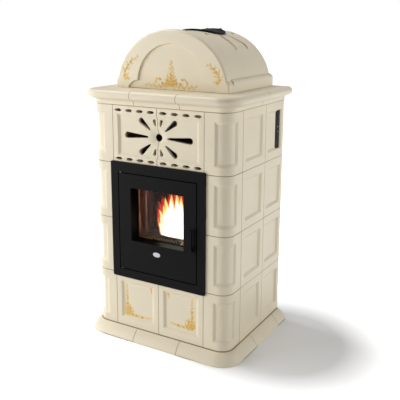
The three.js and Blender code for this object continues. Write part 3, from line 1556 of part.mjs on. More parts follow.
// A rocker that tips about its middle, its face slightly hollow between two raised ends.
// It is drawn tipped to its off side.
function powerSwitch() {
  const face = rearFace + rearPanelThickness + seat + inletBezel;
  const back = face - rockerDepth;
  const z = inletZ + rockerRise;
  const side = new THREE.Shape();
  side.moveTo(face + rockerProud, z - rockerHeight / 2);
  side.lineTo(face + rockerProud - rockerCrown, z);
  side.lineTo(face + rockerProud, z + rockerHeight / 2);
  side.lineTo(face - rockerCrown, z + rockerHeight / 2);
  side.lineTo(back, z + rockerHeight / 4);
  side.lineTo(back, z - rockerHeight / 4);
  side.lineTo(face - rockerCrown, z - rockerHeight / 2);
  const rocker = prismX(side, about(inletX, rockerWidth));
  rocker.translate(0, -face, -z).rotateX(THREE.MathUtils.degToRad(rockerTilt));
  return rocker.translate(0, face, z);
}

const buttonHeight = (index) => buttonTop - index * buttonPitch;

// The strip lies in its tile's sunk panel, and stands a little proud of the panel's floor.
function controlPanel() {
  const face = controlFace;
  const body = block([face - controlDepth, face], about(controlY, controlWidth), about(controlZ, controlHeight));
  const room = [face + buttonProud - buttonLength - buttonTravel - running, face + overrun];
  const holes = Array.from({ length: buttonCount }, (_, i) => rodX(buttonRadius + running, room,
    controlY, buttonHeight(i)));
  return cut(body, ...holes);
}

function controlButton(index) {
  const face = controlFace + buttonProud;
  return rodX(buttonRadius, [face - buttonLength, face], controlY, buttonHeight(index));
}

// Finishes
const finish = (color, roughness, metalness = 0) => () => new THREE.MeshStandardMaterial({
  color, roughness, metalness });
const ceramic = finish('#e4dac4', 0.35);
const blackSteel = finish('#1d1d1d', 0.5, 0.3);
const galvanised = finish('#9a9c9e', 0.45, 0.8);
const castIron = finish('#2c2a29', 0.8, 0.4);
const vermiculite = finish('#8a6a52', 0.85);
const stainless = finish('#b5b5b3', 0.3, 0.9);
const blackPlastic = finish('#161616', 0.4);
const glass = finish('#554f49', 0.1);
const rope = finish('#2f2e2c', 0.95);

const stove = new THREE.Group();
stove.position.y = (plinthReach - pipeEnd) / 2;

function add(name, geometry, material) {
  const mesh = new THREE.Mesh(closed(geometry), material());
  mesh.name = name;
  stove.add(mesh);
  return mesh;
}

for (let course = 0; course < courseCount; course += 1) {
  const number = courseCount - course;
  add(`right_corner_tile_${number}`, cornerTile(course), ceramic);
  add(`left_corner_tile_${number}`, mirrored(cornerTile(course)), ceramic);
}
add('right_side_tiles', cut(sideCurtain(), controlOpening()), ceramic);
add('left_side_tiles', mirrored(sideCurtain()), ceramic);
add('right_grille_tile', grilleTile(), ceramic);
add('left_grille_tile', mirrored(grilleTile()), ceramic);
add('right_painted_tile', paintedTile(), ceramic);
add('left_painted_tile', mirrored(paintedTile()), ceramic);

add('right_plinth', plinthSide(), ceramic);
add('left_plinth', mirrored(plinthSide()), ceramic);
add('front_plinth', sweep(plinthProfile(), frontRun(seat - trimJoint, trimJoint - seat)), ceramic);
add('right_cornice', corniceSide(), ceramic);
add('left_cornice', mirrored(corniceSide()), ceramic);
add('front_cornice', corniceMiddle(), ceramic);
add('dome_front', domeSlab(), ceramic);
add('dome_vault', domeVault(), ceramic);

add('door_surround', doorSurround(), blackSteel);
add('door_panel', doorPanel(), blackSteel);
add('door_glass', doorGlass(), glass);
add('glass_retainer', glassRetainer(), blackSteel);
add('door_seal', doorSeal(), rope);
add('door_badge', badge(), stainless);
add('hinge_rod', hingeRod(), galvanised);
add('door_handle', doorHandle(), blackSteel);

add('chassis', chassis(), galvanised);
add('rear_panel', rearPanel(), galvanised);
add('firebox', firebox(), blackSteel);
add('smoke_duct', smokeDuct(), galvanised);
add('firebox_liner', fireboxLiner(), vermiculite);
add('baffle', baffle(), vermiculite);
add('hearth_plate', hearthPlate(), castIron);
add('burn_pot', burnPot(), castIron);
add('ash_drawer', ashDrawer(), galvanised);
add('igniter', igniter(), stainless);

add('hopper', hopper(), galvanised);
add('hopper_lid', hopperLid(), blackSteel);
add('auger_tube', augerTube(), galvanised);
add('auger_screw', augerScrew(), stainless);
add('auger_gearmotor', augerGearmotor(), galvanised);

add('smoke_fan_housing', smokeFanHousing(), galvanised);
add('smoke_impeller', smokeImpeller(), stainless);
add('smoke_fan_motor', smokeFanMotor(), blackPlastic);
add('exhaust_pipe', exhaustPipe(), galvanised);
add('air_intake_pipe', airIntakePipe(), galvanised);
add('room_fan_housing', roomFanHousing(), galvanised);
add('room_fan_rotor', roomFanRotor(), blackPlastic);

add('control_panel', controlPanel(), blackPlastic);
for (let index = 0; index < buttonCount; index += 1) {
  add(`control_button_${index + 1}`, controlButton(index), blackPlastic);
}
add('power_inlet', powerInlet(), blackPlastic);
add('power_switch', powerSwitch(), blackPlastic);

export default stove;
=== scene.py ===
import json
from math import atan2, copysign, cos, pi, radians, sin

import bmesh
import bpy
from bpy.props import FloatProperty, FloatVectorProperty, IntProperty, PointerProperty
from mathutils.bvhtree import BVHTree
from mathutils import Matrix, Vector
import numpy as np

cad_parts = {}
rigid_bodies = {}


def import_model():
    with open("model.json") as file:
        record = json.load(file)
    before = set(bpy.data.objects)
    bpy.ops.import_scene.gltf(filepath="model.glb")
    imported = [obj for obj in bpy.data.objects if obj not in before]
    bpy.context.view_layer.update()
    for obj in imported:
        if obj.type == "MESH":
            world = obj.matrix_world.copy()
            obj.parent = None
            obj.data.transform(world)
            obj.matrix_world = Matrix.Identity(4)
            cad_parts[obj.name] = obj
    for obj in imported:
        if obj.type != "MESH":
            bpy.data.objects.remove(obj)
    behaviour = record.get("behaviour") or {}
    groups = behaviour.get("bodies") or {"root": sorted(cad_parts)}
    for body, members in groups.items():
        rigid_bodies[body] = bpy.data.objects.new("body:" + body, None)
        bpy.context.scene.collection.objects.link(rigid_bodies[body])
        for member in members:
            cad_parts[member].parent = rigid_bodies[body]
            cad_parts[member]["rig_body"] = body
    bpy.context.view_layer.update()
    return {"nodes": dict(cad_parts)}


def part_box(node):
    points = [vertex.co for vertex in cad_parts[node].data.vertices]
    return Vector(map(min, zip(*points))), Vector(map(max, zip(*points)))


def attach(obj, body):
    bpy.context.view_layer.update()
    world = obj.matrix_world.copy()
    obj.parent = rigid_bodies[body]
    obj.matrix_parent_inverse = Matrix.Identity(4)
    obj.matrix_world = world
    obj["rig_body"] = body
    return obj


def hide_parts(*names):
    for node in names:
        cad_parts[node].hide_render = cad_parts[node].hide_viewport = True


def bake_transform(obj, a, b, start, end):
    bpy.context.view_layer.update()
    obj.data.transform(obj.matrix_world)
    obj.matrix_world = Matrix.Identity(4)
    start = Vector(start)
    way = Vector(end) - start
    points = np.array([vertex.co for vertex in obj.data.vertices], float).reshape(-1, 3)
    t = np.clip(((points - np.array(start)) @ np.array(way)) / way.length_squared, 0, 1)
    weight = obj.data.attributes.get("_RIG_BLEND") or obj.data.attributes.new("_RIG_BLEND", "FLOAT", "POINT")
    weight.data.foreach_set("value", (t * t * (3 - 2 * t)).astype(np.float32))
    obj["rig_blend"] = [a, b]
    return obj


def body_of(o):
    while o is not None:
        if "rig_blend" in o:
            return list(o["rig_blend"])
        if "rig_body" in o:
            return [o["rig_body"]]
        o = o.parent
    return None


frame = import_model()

bl_info = {
    "name": "Ceramic pellet stove",
    "version": (1, 0, 0),
    "blender": (4, 5, 0),
    "location": "3D View > Sidebar > Pellet Stove",
    "description": "Finishes the frame of a tiled pellet stove, its fire, its paintwork and its stage",
    "category": "Add Mesh",
}

MM = 0.001
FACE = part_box("left_painted_tile")[0].y
COURSES = sorted({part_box(f"left_corner_tile_{n}")[0].z for n in (1, 2, 3, 4)})
TILE_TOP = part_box("left_corner_tile_1")[1].z
JOINT_BAND = 1.9 * MM
NEAR_JOINT = 2.6 * MM
LEFT_RIGHT = ("left", "right")


def at(x, y, z):
    """A point in millimetres, with y measured back from the tiles' front face, in the frame's metres."""
    return Vector((x * MM, FACE + y * MM, z * MM))


def linear(colour):
    """A colour as the shader takes it, also from one written in whole numbers from 0 to 255."""
    if isinstance(colour[0], float):
        return tuple(colour)
    return tuple(((c / 255 + 0.055) / 1.055) ** 2.4 if c > 10 else c / 255 / 12.92 for c in colour)


def shaded(colour, share):
    """A colour made lighter or darker by a share of itself."""
    return tuple(min(1.0, c * share) for c in linear(colour))


class Tree:
    """Adds nodes to a node tree, with their inputs set or linked."""

    family = "ShaderNode"

    def __init__(self, tree):
        self.tree = tree

    def feed(self, socket, value):
        """Sets a socket to a value, or links it where the value is another node's output."""
        if isinstance(value, bpy.types.NodeSocket):
            self.tree.links.new(value, socket)
        else:
            socket.default_value = value

    def add(self, kind, inputs=None, **settings):
        made = self.tree.nodes.new(kind if "Node" in kind else self.family + kind)
        for setting, value in settings.items():
            setattr(made, setting, value)
        for name, value in (inputs or {}).items():
            named = (s for s in made.inputs if s.name == name and s.enabled)
            self.feed(made.inputs[name] if isinstance(name, int) else next(named), value)
        return made

    def get(self, kind, inputs=None, output=None, **settings):
        """One output of a new node: the one named, or else its first."""
        outputs = self.add(kind, inputs, **settings).outputs
        return next(s for s in outputs if s.enabled) if output is None else outputs[output]

    def math(self, operation, first, second=0.0):
        return self.get("ShaderNodeMath", {0: first, 1: second}, operation=operation)

    def plus(self, first, second):
        return self.math("ADD", first, second)

    def times(self, first, second):
        return self.math("MULTIPLY", first, second)

    def span(self, factor, low, high, start=0.0, end=1.0):
        """A pattern's levels from start to end, brought to the numbers low to high."""
        return self.get("ShaderNodeMapRange", {
            "Value": factor, "From Min": start, "From Max": end, "To Min": low, "To Max": high})


# Finishes


class Finish(Tree):
    """Builds one material from patterns that are laid in the stove's own space."""

    def __init__(self, name, **uniform):
        self.material = bpy.data.materials.new(name)
        self.material.use_nodes = True
        super().__init__(self.material.node_tree)
        self.tree.nodes.clear()
        self.surface = self.add("BsdfPrincipled")
        self.out = self.add("OutputMaterial", {"Surface": self.surface.outputs["BSDF"]})
        self.set(**uniform)
        self.place = self.get("TexCoord", output="Object")

    def set(self, **values):
        """Feeds the surface's sockets, with _ for a space."""
        for name, value in values.items():
            self.feed(self.surface.inputs[name.replace("_", " ")], value)

    def axis(self, name):
        """The place along one axis."""
        return self.get("SeparateXYZ", {"Vector": self.place}, name)

    def stretched(self, *scale):
        """The place, drawn out so that a pattern runs long in some directions."""
        return self.get("Mapping", {"Vector": self.place, "Scale": scale})

    def noise(self, size, detail=3.0, rough=0.5, place=None, warp=0.0):
        """Soft noise whose blotches are about size millimetres across."""
        return self.get("TexNoise", {
            "Vector": place or self.place, "Scale": 1 / (size * MM), "Detail": detail, "Roughness": rough,
            "Distortion": warp})

    def ramp(self, factor, *stops):
        """A colour for each level of a pattern, given as (level, colour) stops."""
        made = self.add("ValToRGB", {0: factor})
        elements = made.color_ramp.elements
        for index, (level, colour) in enumerate(stops):
            stop = elements[index] if index < 2 else elements.new(level)
            stop.position = level
            stop.color = (*linear(colour), 1.0)
        return made.outputs["Color"]

    def toned(self, factor, colour, dark, light):
        """A colour from a dark to a light share of itself."""
        return self.ramp(factor, (0.3, shaded(colour, dark)), (0.7, shaded(colour, light)))

    def mix(self, factor, *colours):
        first, second = (c if isinstance(c, bpy.types.NodeSocket) else (*linear(c), 1.0) for c in colours)
        return self.get("Mix", {0: factor, 6: first, 7: second}, 2, data_type="RGBA")

    def flecked(self, under, over, pattern, share, start, end):
        """A colour with up to a share of another, over a pattern's levels start to end."""
        return self.mix(self.span(pattern, 0.0, share, start, end), under, over)

    def painted(self, name):
        """A value that was painted on the mesh."""
        return self.get("Attribute", output="Fac", attribute_name=name)

    def done(self, colour, roughness=None, relief=None):
        """The material, with its colour and roughness; relief is a pattern, its depth in millimetres and a strength."""
        self.set(Base_Color=colour)
        if roughness is not None:
            self.set(Roughness=roughness)
        if relief:
            height, depth, strength = relief
            self.set(Normal=self.get("Bump", {
                "Height": height, "Distance": depth * MM, "Strength": strength}))
        return self.material


def cream_glaze(glaze):
    """Fired cream glaze, pooled a little in places, that breaks darker along the joints."""
    made = Finish("cream_glaze", Specular_IOR_Level=0.32)
    body = made.toned(made.noise(120), glaze.cream, 0.985, 1.012)
    body = made.flecked(body, glaze.warm, made.noise(18, 4, 0.6), 0.22, 0.45, 0.85)
    seam = made.span(made.plus(made.painted("joint"), made.span(made.noise(6), -0.1, 0.1)), 0.0, 1.0, 0.12, 0.9)
    shine = made.span(made.noise(60, 1), glaze.gloss - 0.04, glaze.gloss + 0.05, 0.3, 0.7)
    return made.done(made.mix(seam, body, glaze.joint), made.plus(shine, made.span(seam, 0.0, 0.4)),
                     (made.noise(90, 0, 0.3), 0.3, 0.3))


def gold_paint(name, bright, deep):
    """Brushed gold paint, laid thick in some strokes and thin in others."""
    made = Finish(name, Specular_IOR_Level=0.55)
    strokes = made.noise(6, 4, 0.6, warp=0.6)
    fine = made.noise(1.6, 2)
    colour = made.ramp(strokes, (0.22, deep), (0.42, bright), (0.75, shaded(bright, 1.12)))
    return made.done(made.flecked(colour, deep, fine, 0.3, 0.5, 0.85), made.span(fine, 0.3, 0.48),
                     (made.plus(strokes, fine), 0.25, 0.6))


def black_enamel(name, colour, gloss, grain=1.6, reveal_shade=None):
    """Stoved black paint with a fine grain, rubbed lighter on raised places, and painted near black behind a depth if
    given, as painted shade in recessed reveals.
    """
    made = Finish(name, Specular_IOR_Level=0.05)
    dust = made.noise(60, 4, 0.55)
    fine = made.noise(grain, 2, 0.6)
    tone = made.flecked(made.toned(dust, colour, 0.85, 1.15), shaded(colour, 1.6), fine, 0.3, 0.55, 0.85)
    if reveal_shade is not None:
        # Behind the depth the enamel goes near black: painted shade in the door's recessed reveals.
        tone = made.flecked(tone, (0.0015, 0.0015, 0.0015), made.axis("Y"), 0.85, reveal_shade, reveal_shade + 3 * MM)
    return made.done(tone, made.span(made.plus(fine, dust), gloss - 0.05, gloss + 0.08, 0.6, 1.4), (fine, 0.05, 0.35))


def bare_metal(name, colour, roughness, grain, stretch=(1, 1, 1), metallic=0.9, stain=None):
    """Rolled or brushed metal: fine lines along the stretch, and a slow change of tone."""
    made = Finish(name, Metallic=metallic)
    lines = made.noise(grain, 3, 0.6, made.stretched(*stretch))
    tone = made.toned(made.noise(70), colour, 0.82, 1.1)
    tone = made.flecked(tone, shaded(colour, 0.7), lines, 0.35, 0.4, 0.7)
    if stain:
        tone = made.flecked(tone, stain, made.noise(22, 5, 0.65), 0.55, 0.5, 0.78)
    return made.done(tone, made.span(lines, roughness - 0.08, roughness + 0.12, 0.3, 0.7), (lines, 0.03, 0.4))


def galvanised_sheet(name="galvanised_sheet", blackened=None):
    """Zinc-coated sheet with its frosty spangle, painted black above a height if one is given."""
    made = Finish(name, Metallic=0.85)
    spangle = made.get("TexVoronoi", {"Vector": made.place, "Scale": 1 / (11 * MM)}, "Color")
    grey = made.get("RGBToBW", {"Color": spangle})
    frost = made.noise(1.5, 3)
    tone = made.ramp(grey, (0.2, (158, 161, 164)), (0.55, (178, 181, 184)), (0.85, (196, 199, 201)))
    tone = made.flecked(tone, (140, 143, 147), frost, 0.25, 0.4, 0.8)
    if blackened is not None:
        paint = made.span(made.axis("Z"), 0.0, 1.0, blackened, blackened + 0.5 * MM)
        tone = made.mix(paint, tone, (22, 22, 23))
        made.set(Metallic=made.span(paint, 0.85, 0.0))
    return made.done(tone, made.plus(made.span(grey, 0.3, 0.5), made.span(frost, -0.03, 0.05)), (grey, 0.02, 0.4))


def fired_iron(name, colour, ash):
    """Cast iron with a sandy skin, greyed by ash."""
    made = Finish(name, Metallic=0.35)
    sand = made.noise(1.3, 3, 0.6)
    tone = made.ramp(sand, (0.35, shaded(colour, 0.7)), (0.7, shaded(colour, 1.5)))
    return made.done(made.flecked(tone, ash, made.noise(30, 4, 0.6), 0.55, 0.5, 0.8), made.span(sand, 0.5, 0.78),
                     (made.plus(sand, made.noise(6, 2)), 0.22, 0.7))


def browned_lining(back):
    """Lining plates of the fire chamber, browned by heat, with a coppery bloom, and a back wall painted near black as
    painted shade.
    """
    made = Finish("browned_lining", Metallic=0.6)
    soot = made.noise(26, 5, 0.62, made.stretched(1, 1, 0.25))
    flecks = made.noise(3, 3)
    tone = made.ramp(soot, (0.28, (112, 78, 60)), (0.52, (178, 130, 102)), (0.8, (220, 176, 144)))
    tone = made.flecked(tone, (80, 56, 44), flecks, 0.5, 0.5, 0.85)
    # Towards the back wall the colour goes near black: painted shade where less of the flame's light falls.
    black = made.plus(made.span(made.axis("Y"), 0.0, 1.0, back - 20 * MM, back - 4 * MM), made.span(soot, -0.1, 0.06))
    return made.done(made.flecked(tone, (26, 18, 15), black, 0.94, 0.0, 1.0), made.span(soot, 0.3, 0.5, 0.7, 0.3),
                     (made.plus(soot, flecks), 0.12, 0.4))


def moulded_plastic(name, colour, roughness, grain=0.9, shine=0.45):
    """Moulded plastic with a fine spark-eroded grain."""
    made = Finish(name, Specular_IOR_Level=shine)
    skin = made.noise(grain, 2, 0.6)
    return made.done(made.toned(made.noise(40), colour, 0.85, 1.25), made.span(skin, roughness - 0.08, roughness + 0.1),
                     (skin, 0.04, 0.5))


def heat_glass():
    """Clear heat-proof glass, with a faint amber body and a little haze."""
    made = Finish("heat_glass", Specular_IOR_Level=0.6)
    haze = made.noise(60, 4, 0.55)
    made.set(Alpha=made.span(haze, 0.07, 0.16, 0.3, 0.8))
    return made.done(made.ramp(haze, (0.35, (46, 34, 26)), (0.8, (92, 78, 66))), made.span(haze, 0.02, 0.1))


def glass_rope():
    """Braided glass fibre, charcoal grey with pale flecks."""
    made = Finish("glass_rope", Roughness=0.9, Sheen_Weight=0.25)
    yarn = made.noise(1.1, 3, 0.7)
    tone = made.ramp(yarn, (0.3, (26, 26, 27)), (0.6, (58, 58, 58)), (0.85, (110, 108, 104)))
    return made.done(tone, relief=(yarn, 0.4, 0.8))


def pressed_wood():
    """Pressed sawdust pellets, pale brown with darker bands across them."""
    made = Finish("pressed_wood", Roughness=0.7)
    band = made.noise(2.4, 3, 0.6)
    tone = made.ramp(band, (0.3, (148, 104, 62)), (0.6, (190, 147, 96)), (0.85, (214, 178, 128)))
    return made.done(made.flecked(tone, (122, 84, 50), made.noise(16, 2), 0.5, 0.4, 0.8), relief=(band, 0.3, 0.8))


def embers():
    """Pellets that glow orange, with black and grey where they have burnt out."""
    made = Finish("embers", Roughness=0.85, Emission_Strength=2.6)
    glow = made.noise(7, 4, 0.6)
    made.set(Emission_Color=made.ramp(
        glow, (0.42, (0.05, 0.004, 0.0)), (0.55, (1.0, 0.16, 0.01)), (0.75, (1.0, 0.62, 0.18))))
    return made.done(made.ramp(glow, (0.4, (24, 20, 18)), (0.7, (90, 60, 44))), relief=(glow, 0.5, 0.7))


def burning(name, low, high, strength, tip):
    """Flame: colour and brightness change from its foot to its tip, and it thins out towards its painted rim."""
    foot = 440
    made = Finish(name, Roughness=1.0, Specular_IOR_Level=0.0, Emission_Strength=strength)
    streak = made.noise(16, 3, 0.6, made.stretched(1, 1, 0.4), warp=0.8)
    level = made.plus(made.span(made.axis("Z"), 0.0, 1.0, foot * MM, tip * MM), made.span(streak, -0.35, 0.35))
    rim = made.plus(made.painted("rim"), made.span(streak, -0.22, 0.22, 0.2, 0.8))
    made.set(Emission_Color=made.ramp(level, (0.05, low[0]), (0.5, low[1]), (0.95, high)),
             Alpha=made.span(rim, 1.0, 0.0, 0.52, 0.96))
    return made.done((0.0, 0.0, 0.0, 1.0))


def lamp_spot(name, colour, strength):
    """A small lit lens, mottled a little."""
    made = Finish(name, Roughness=0.25, Emission_Strength=strength)
    grain = made.noise(1.2, 2)
    made.set(Emission_Color=made.toned(grain, colour, 0.8, 1.0))
    return made.done(made.toned(grain, colour, 0.25, 0.4))


def kept(name):
    return bpy.data.materials[name]


# Shapes


def linked(name, data):
    """A new object in the scene."""
    made = bpy.data.objects.new(name, data)
    bpy.context.collection.objects.link(made)
    return made


def plain_mesh(name, vertices, edges=(), faces=()):
    mesh = bpy.data.meshes.new(name)
    mesh.from_pydata(vertices, edges, faces)
    return mesh


def mesh_from(name, work):
    """The mesh that a working copy ends as."""
    mesh = bpy.data.meshes.new(name)
    work.to_mesh(mesh)
    work.free()
    return mesh


def smoothed(mesh):
    for face in mesh.polygons:
        face.use_smooth = True
    return mesh


def baked(rough):
    """The mesh that an object's modifiers make; the object itself goes."""
    bpy.context.view_layer.update()
    mesh = bpy.data.meshes.new_from_object(rough.evaluated_get(bpy.context.evaluated_depsgraph_get()))
    rough.modifiers.clear()
    bpy.data.objects.remove(rough)
    return mesh


def merged(node):
    """A working copy of a frame node, its loose triangles joined and its flat faces made whole."""
    work = bmesh.new()
    work.from_mesh(frame["nodes"][node].data)
    bmesh.ops.remove_doubles(work, verts=work.verts, dist=0.02 * MM)
    bmesh.ops.dissolve_limit(work, angle_limit=radians(0.8), verts=work.verts, edges=work.edges)
    return work


def eased(work, width, steps, angle, choose=lambda edge: True):
    """Rounds the edges that turn by more than an angle and that choose agrees to."""
    edges = [e for e in work.edges if e.is_manifold and e.calc_face_angle(0.0) > radians(angle) and choose(e)]
    if edges:
        bmesh.ops.bevel(work, geom=edges, offset=width * MM, offset_type="OFFSET", segments=steps, profile=0.5,
                        affect="EDGES", clamp_overlap=True, loop_slide=False)


def piece(name, mesh, body, material):
    """A finished piece, at the origin, that rides on its body."""
    made = linked(name, mesh)
    mesh.materials.clear()
    mesh.materials.append(material)
    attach(made, body)
    return made


def dressed(node, material, slot, width=0.8, steps=2, angle=25, planes=(), panel=None, rim=0.5):
    """A node's shape with eased edges and its finish, in the node's own place.

    planes are the joint planes, as (axis, place): edges near them get the rim's rounding, and the surface is
    ringed beside them so that only a narrow band is painted as joint. panel is the wider rounding of all its
    other edges."""
    work = merged(node)
    if planes:
        near = lambda v: any(abs(v.co[axis] - place) < NEAR_JOINT for axis, place in planes)
        eased(work, panel, 3, angle, lambda e: not any(near(v) for v in e.verts))
        eased(work, rim, 2, angle, lambda e: all(near(v) for v in e.verts))
        for axis, place in planes:
            facing = Vector([float(axis == each) for each in range(3)])
            for side in (-1, 1):
                bmesh.ops.bisect_plane(work, geom=work.verts[:] + work.edges[:] + work.faces[:], dist=1e-7,
                                       plane_co=facing * (place + side * JOINT_BAND), plane_no=facing)
    else:
        eased(work, width, steps, angle)
    rough = linked(node, smoothed(mesh_from(node, work)))
    modifier = rough.modifiers.new("even shading", "WEIGHTED_NORMAL")
    modifier.keep_sharp = True
    modifier.weight = 80
    mesh = baked(rough)
    if planes:
        joint = mesh.attributes.new("joint", "FLOAT", "POINT")
        for index, vertex in enumerate(mesh.vertices):
            gap = min(abs(vertex.co[axis] - place) for axis, place in planes)
            joint.data[index].value = max(0.0, 1.0 - gap / JOINT_BAND)
    made = piece(f"{node}_finished", mesh, body_of(frame["nodes"][node])[0], material)
    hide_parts(node)


def dress(slot, material, **nodes):
    """Dresses several nodes in one finish, each with its width of rounding, and the number of steps and the angle."""
    for node, rounding in nodes.items():
        dressed(node, material, slot, *(rounding if isinstance(rounding, tuple) else (rounding,)))


def circle(sides):
    """Cosine and sine of a polygon's corners."""
    turns = [2 * pi * side / sides for side in range(sides)]
    return [(cos(turn), sin(turn)) for turn in turns]


def bands(rings, sides):
    """Faces between rings of vertices."""
    return [(k * sides + s, k * sides + (s + 1) % sides, (k + 1) * sides + (s + 1) % sides, (k + 1) * sides + s)
            for k in range(rings - 1) for s in range(sides)]


def capped(rings, sides):
    """The faces of a closed form: its bands, its foot and its top."""
    return bands(rings, sides) + [tuple(reversed(range(sides))), tuple(range((rings - 1) * sides, rings * sides))]


def tube(points, radii, sides, depths):
    """A closed oval form along a line of points, as vertices and faces; depths are its radii along Y."""
    vertices = []
    for index, (point, radius, depth) in enumerate(zip(points, radii, depths)):
        ahead = points[min(index + 1, len(points) - 1)] - points[max(index - 1, 0)]
        across = ahead.cross(Vector((0, 1, 0))).normalized()
        deep = ahead.cross(across).normalized()
        vertices += [point + across * (radius * c) + deep * (depth * s) for c, s in circle(sides)]
    return vertices, capped(len(points), sides)


def mesh_of(name, parts):
    """One mesh from several lists of vertices and faces, with its faces turned outwards."""
    work = bmesh.new()
    for vertices, faces in parts:
        made = [work.verts.new(v) for v in vertices]
        for face in faces:
            work.faces.new([made[i] for i in face])
    bmesh.ops.recalc_face_normals(work, faces=work.faces)
    return mesh_from(name, work)


def line_mesh(name, lines, closed=False):
    """A mesh of edges only, one open or closed line for each list of points."""
    vertices, edges = [], []
    for line in lines:
        start = len(vertices)
        vertices.extend(line)
        edges.extend((start + i, start + i + 1) for i in range(len(line) - 1))
        if closed:
            edges.append((len(vertices) - 1, start))
    return plain_mesh(name, vertices, edges)


# Geometry Nodes


class Growth(Tree):
    """Builds one Geometry Nodes tree, with named inputs, that ends in one finish."""

    family = "GeometryNode"

    def __init__(self, name):
        super().__init__(bpy.data.node_groups.new(name, "GeometryNodeTree"))
        self.socket("Geometry", "Geometry")
        self.socket("Geometry", "Geometry", "OUTPUT")
        self.socket("Finish", "Material")
        self.start = self.add("NodeGroupInput")
        self.end = self.add("NodeGroupOutput")
        self.ground = self.start.outputs["Geometry"]

    def socket(self, name, kind, way="INPUT"):
        return self.tree.interface.new_socket(name, in_out=way, socket_type=f"NodeSocket{kind}")

    def sizes(self, **named):
        """Named inputs, with _ for a space, which the modifier sets."""
        for name, default in named.items():
            kind = {float: "Float", int: "Int", tuple: "Vector"}[type(default)]
            self.socket(name.replace("_", " "), kind).default_value = default
        return [self.start.outputs[name.replace("_", " ")] for name in named]

    def random(self, low, high, seed):
        return self.get("FunctionNodeRandomValue", {"Min": low, "Max": high, "Seed": seed}, data_type="FLOAT")

    def vector(self, x=0.0, y=0.0, z=0.0):
        return self.get("ShaderNodeCombineXYZ", {"X": x, "Y": y, "Z": z})

    def turn(self, x=0.0, y=0.0, z=0.0):
        return self.get("FunctionNodeEulerToRotation", {"Euler": self.vector(x, y, z)})

    def blob(self, segments=6):
        """A coarse ball, one metre across, to be scaled."""
        return self.get("MeshUVSphere", {"Segments": segments, "Rings": 5, "Radius": 0.5})

    def moved(self, geometry, **how):
        return self.get("Transform", {"Geometry": geometry, **how})

    def placed(self, points, instance, **how):
        return self.get("InstanceOnPoints", {"Points": points, "Instance": instance, **how})

    def joined(self, *parts):
        join = self.add("JoinGeometry")
        for part in parts:
            self.tree.links.new(part, join.inputs[0])
        return join.outputs[0]

    def ring(self, corners, radius):
        return self.get("CurvePrimitiveCircle", {"Resolution": corners, "Radius": radius})

    def finish(self, geometry):
        """Realizes the instances and sets the finish, as the last steps of the tree."""
        real = self.get("RealizeInstances", {"Geometry": geometry})
        smooth = self.get("SetShadeSmooth", {"Geometry": real})
        coat = self.get("SetMaterial", {"Geometry": smooth, "Material": self.start.outputs["Finish"]})
        self.feed(self.end.inputs[0], coat)
        return self.tree


def grown(name, mesh, tree, material, body, slot=None, **sizes):
    """Runs a tree on a mesh and keeps the result as a plain piece on a body."""
    seedling = linked(name, mesh)
    modifier = seedling.modifiers.new(tree.name, "NODES")
    modifier.node_group = tree
    sizes["Finish"] = material
    for item in tree.interface.items_tree:
        if item.in_out == "INPUT" and item.name != "Geometry":
            modifier[item.identifier] = sizes[item.name.replace(" ", "_")]
    return piece(name, baked(seedling), body, material)


def leaf_tree():
    """Leaves in turn on both sides of each stem, smaller towards its tip, on an upright face."""
    grow = Growth("leaf spray")
    length, width, depth, spacing, lean, stalk, seed = grow.sizes(
        Leaf_Length=0.008, Leaf_Width=0.0032, Leaf_Depth=0.0012, Spacing=0.004, Lean=0.8, Stalk_Radius=0.0005, Seed=1)
    curve = grow.get("MeshToCurve", {"Mesh": grow.ground})
    spread = grow.get("ResampleCurve", {"Curve": curve, "Length": spacing}, mode="LENGTH")
    taper = grow.math("SUBTRACT", 1.0, grow.times(grow.get("SplineParameter"), 0.5))
    tangent = grow.add("ShaderNodeSeparateXYZ", {"Vector": grow.get("InputTangent")}).outputs
    along = grow.math("ARCTAN2", grow.times(tangent["Z"], -1.0), tangent["X"])
    index = grow.get("InputIndex")
    side = grow.math("SUBTRACT", grow.times(grow.math("MODULO", index, 2.0), 2.0), 1.0)
    angle = grow.plus(along, grow.times(side, grow.plus(lean, grow.random(-0.3, 0.35, seed))))
    leaf = grow.moved(grow.blob(), Rotation=(0.0, pi / 2, 0.0))
    leaf = grow.moved(leaf, Scale=grow.vector(length, depth, width))
    leaf = grow.moved(leaf, Translation=grow.vector(grow.times(length, 0.5)))
    scale = grow.times(taper, grow.random(0.65, 1.15, grow.plus(seed, 7)))
    leaves = grow.placed(spread, leaf, Rotation=grow.turn(0.0, angle), Scale=grow.vector(scale, 1.0, scale))
    stalks = grow.get("CurveToMesh", {
        "Curve": spread, "Profile Curve": grow.ring(5, stalk), "Fill Caps": True})
    return grow.finish(grow.joined(stalks, leaves))


def flower_tree():
    """A small open flower at each point: petals round a raised middle, on an upright face."""
    grow = Growth("flower heads")
    length, depth, petals, seed = grow.sizes(Petal_Length=0.007, Petal_Depth=0.0016, Petals=6, Seed=3)
    petal = grow.moved(grow.blob(), Scale=grow.vector(length, depth, grow.times(length, 0.55)))
    petal = grow.moved(petal, Translation=grow.vector(grow.times(length, 0.62)))
    one = grow.get("Points", {"Count": petals})
    turn = grow.math("DIVIDE", grow.times(grow.get("InputIndex"), 2 * pi), petals)
    crown = grow.placed(one, petal, Rotation=grow.turn(0.0, turn))
    wide = grow.times(length, 0.6)
    middle = grow.moved(grow.blob(8), Scale=grow.vector(wide, grow.times(depth, 1.6), wide))
    scale = grow.random(0.6, 1.1, seed)
    return grow.finish(grow.placed(
        grow.ground, grow.joined(crown, middle), Rotation=grow.turn(0.0, grow.random(0.0, 6.3, grow.plus(seed, 5))),
        Scale=grow.vector(scale, 1.0, scale)))


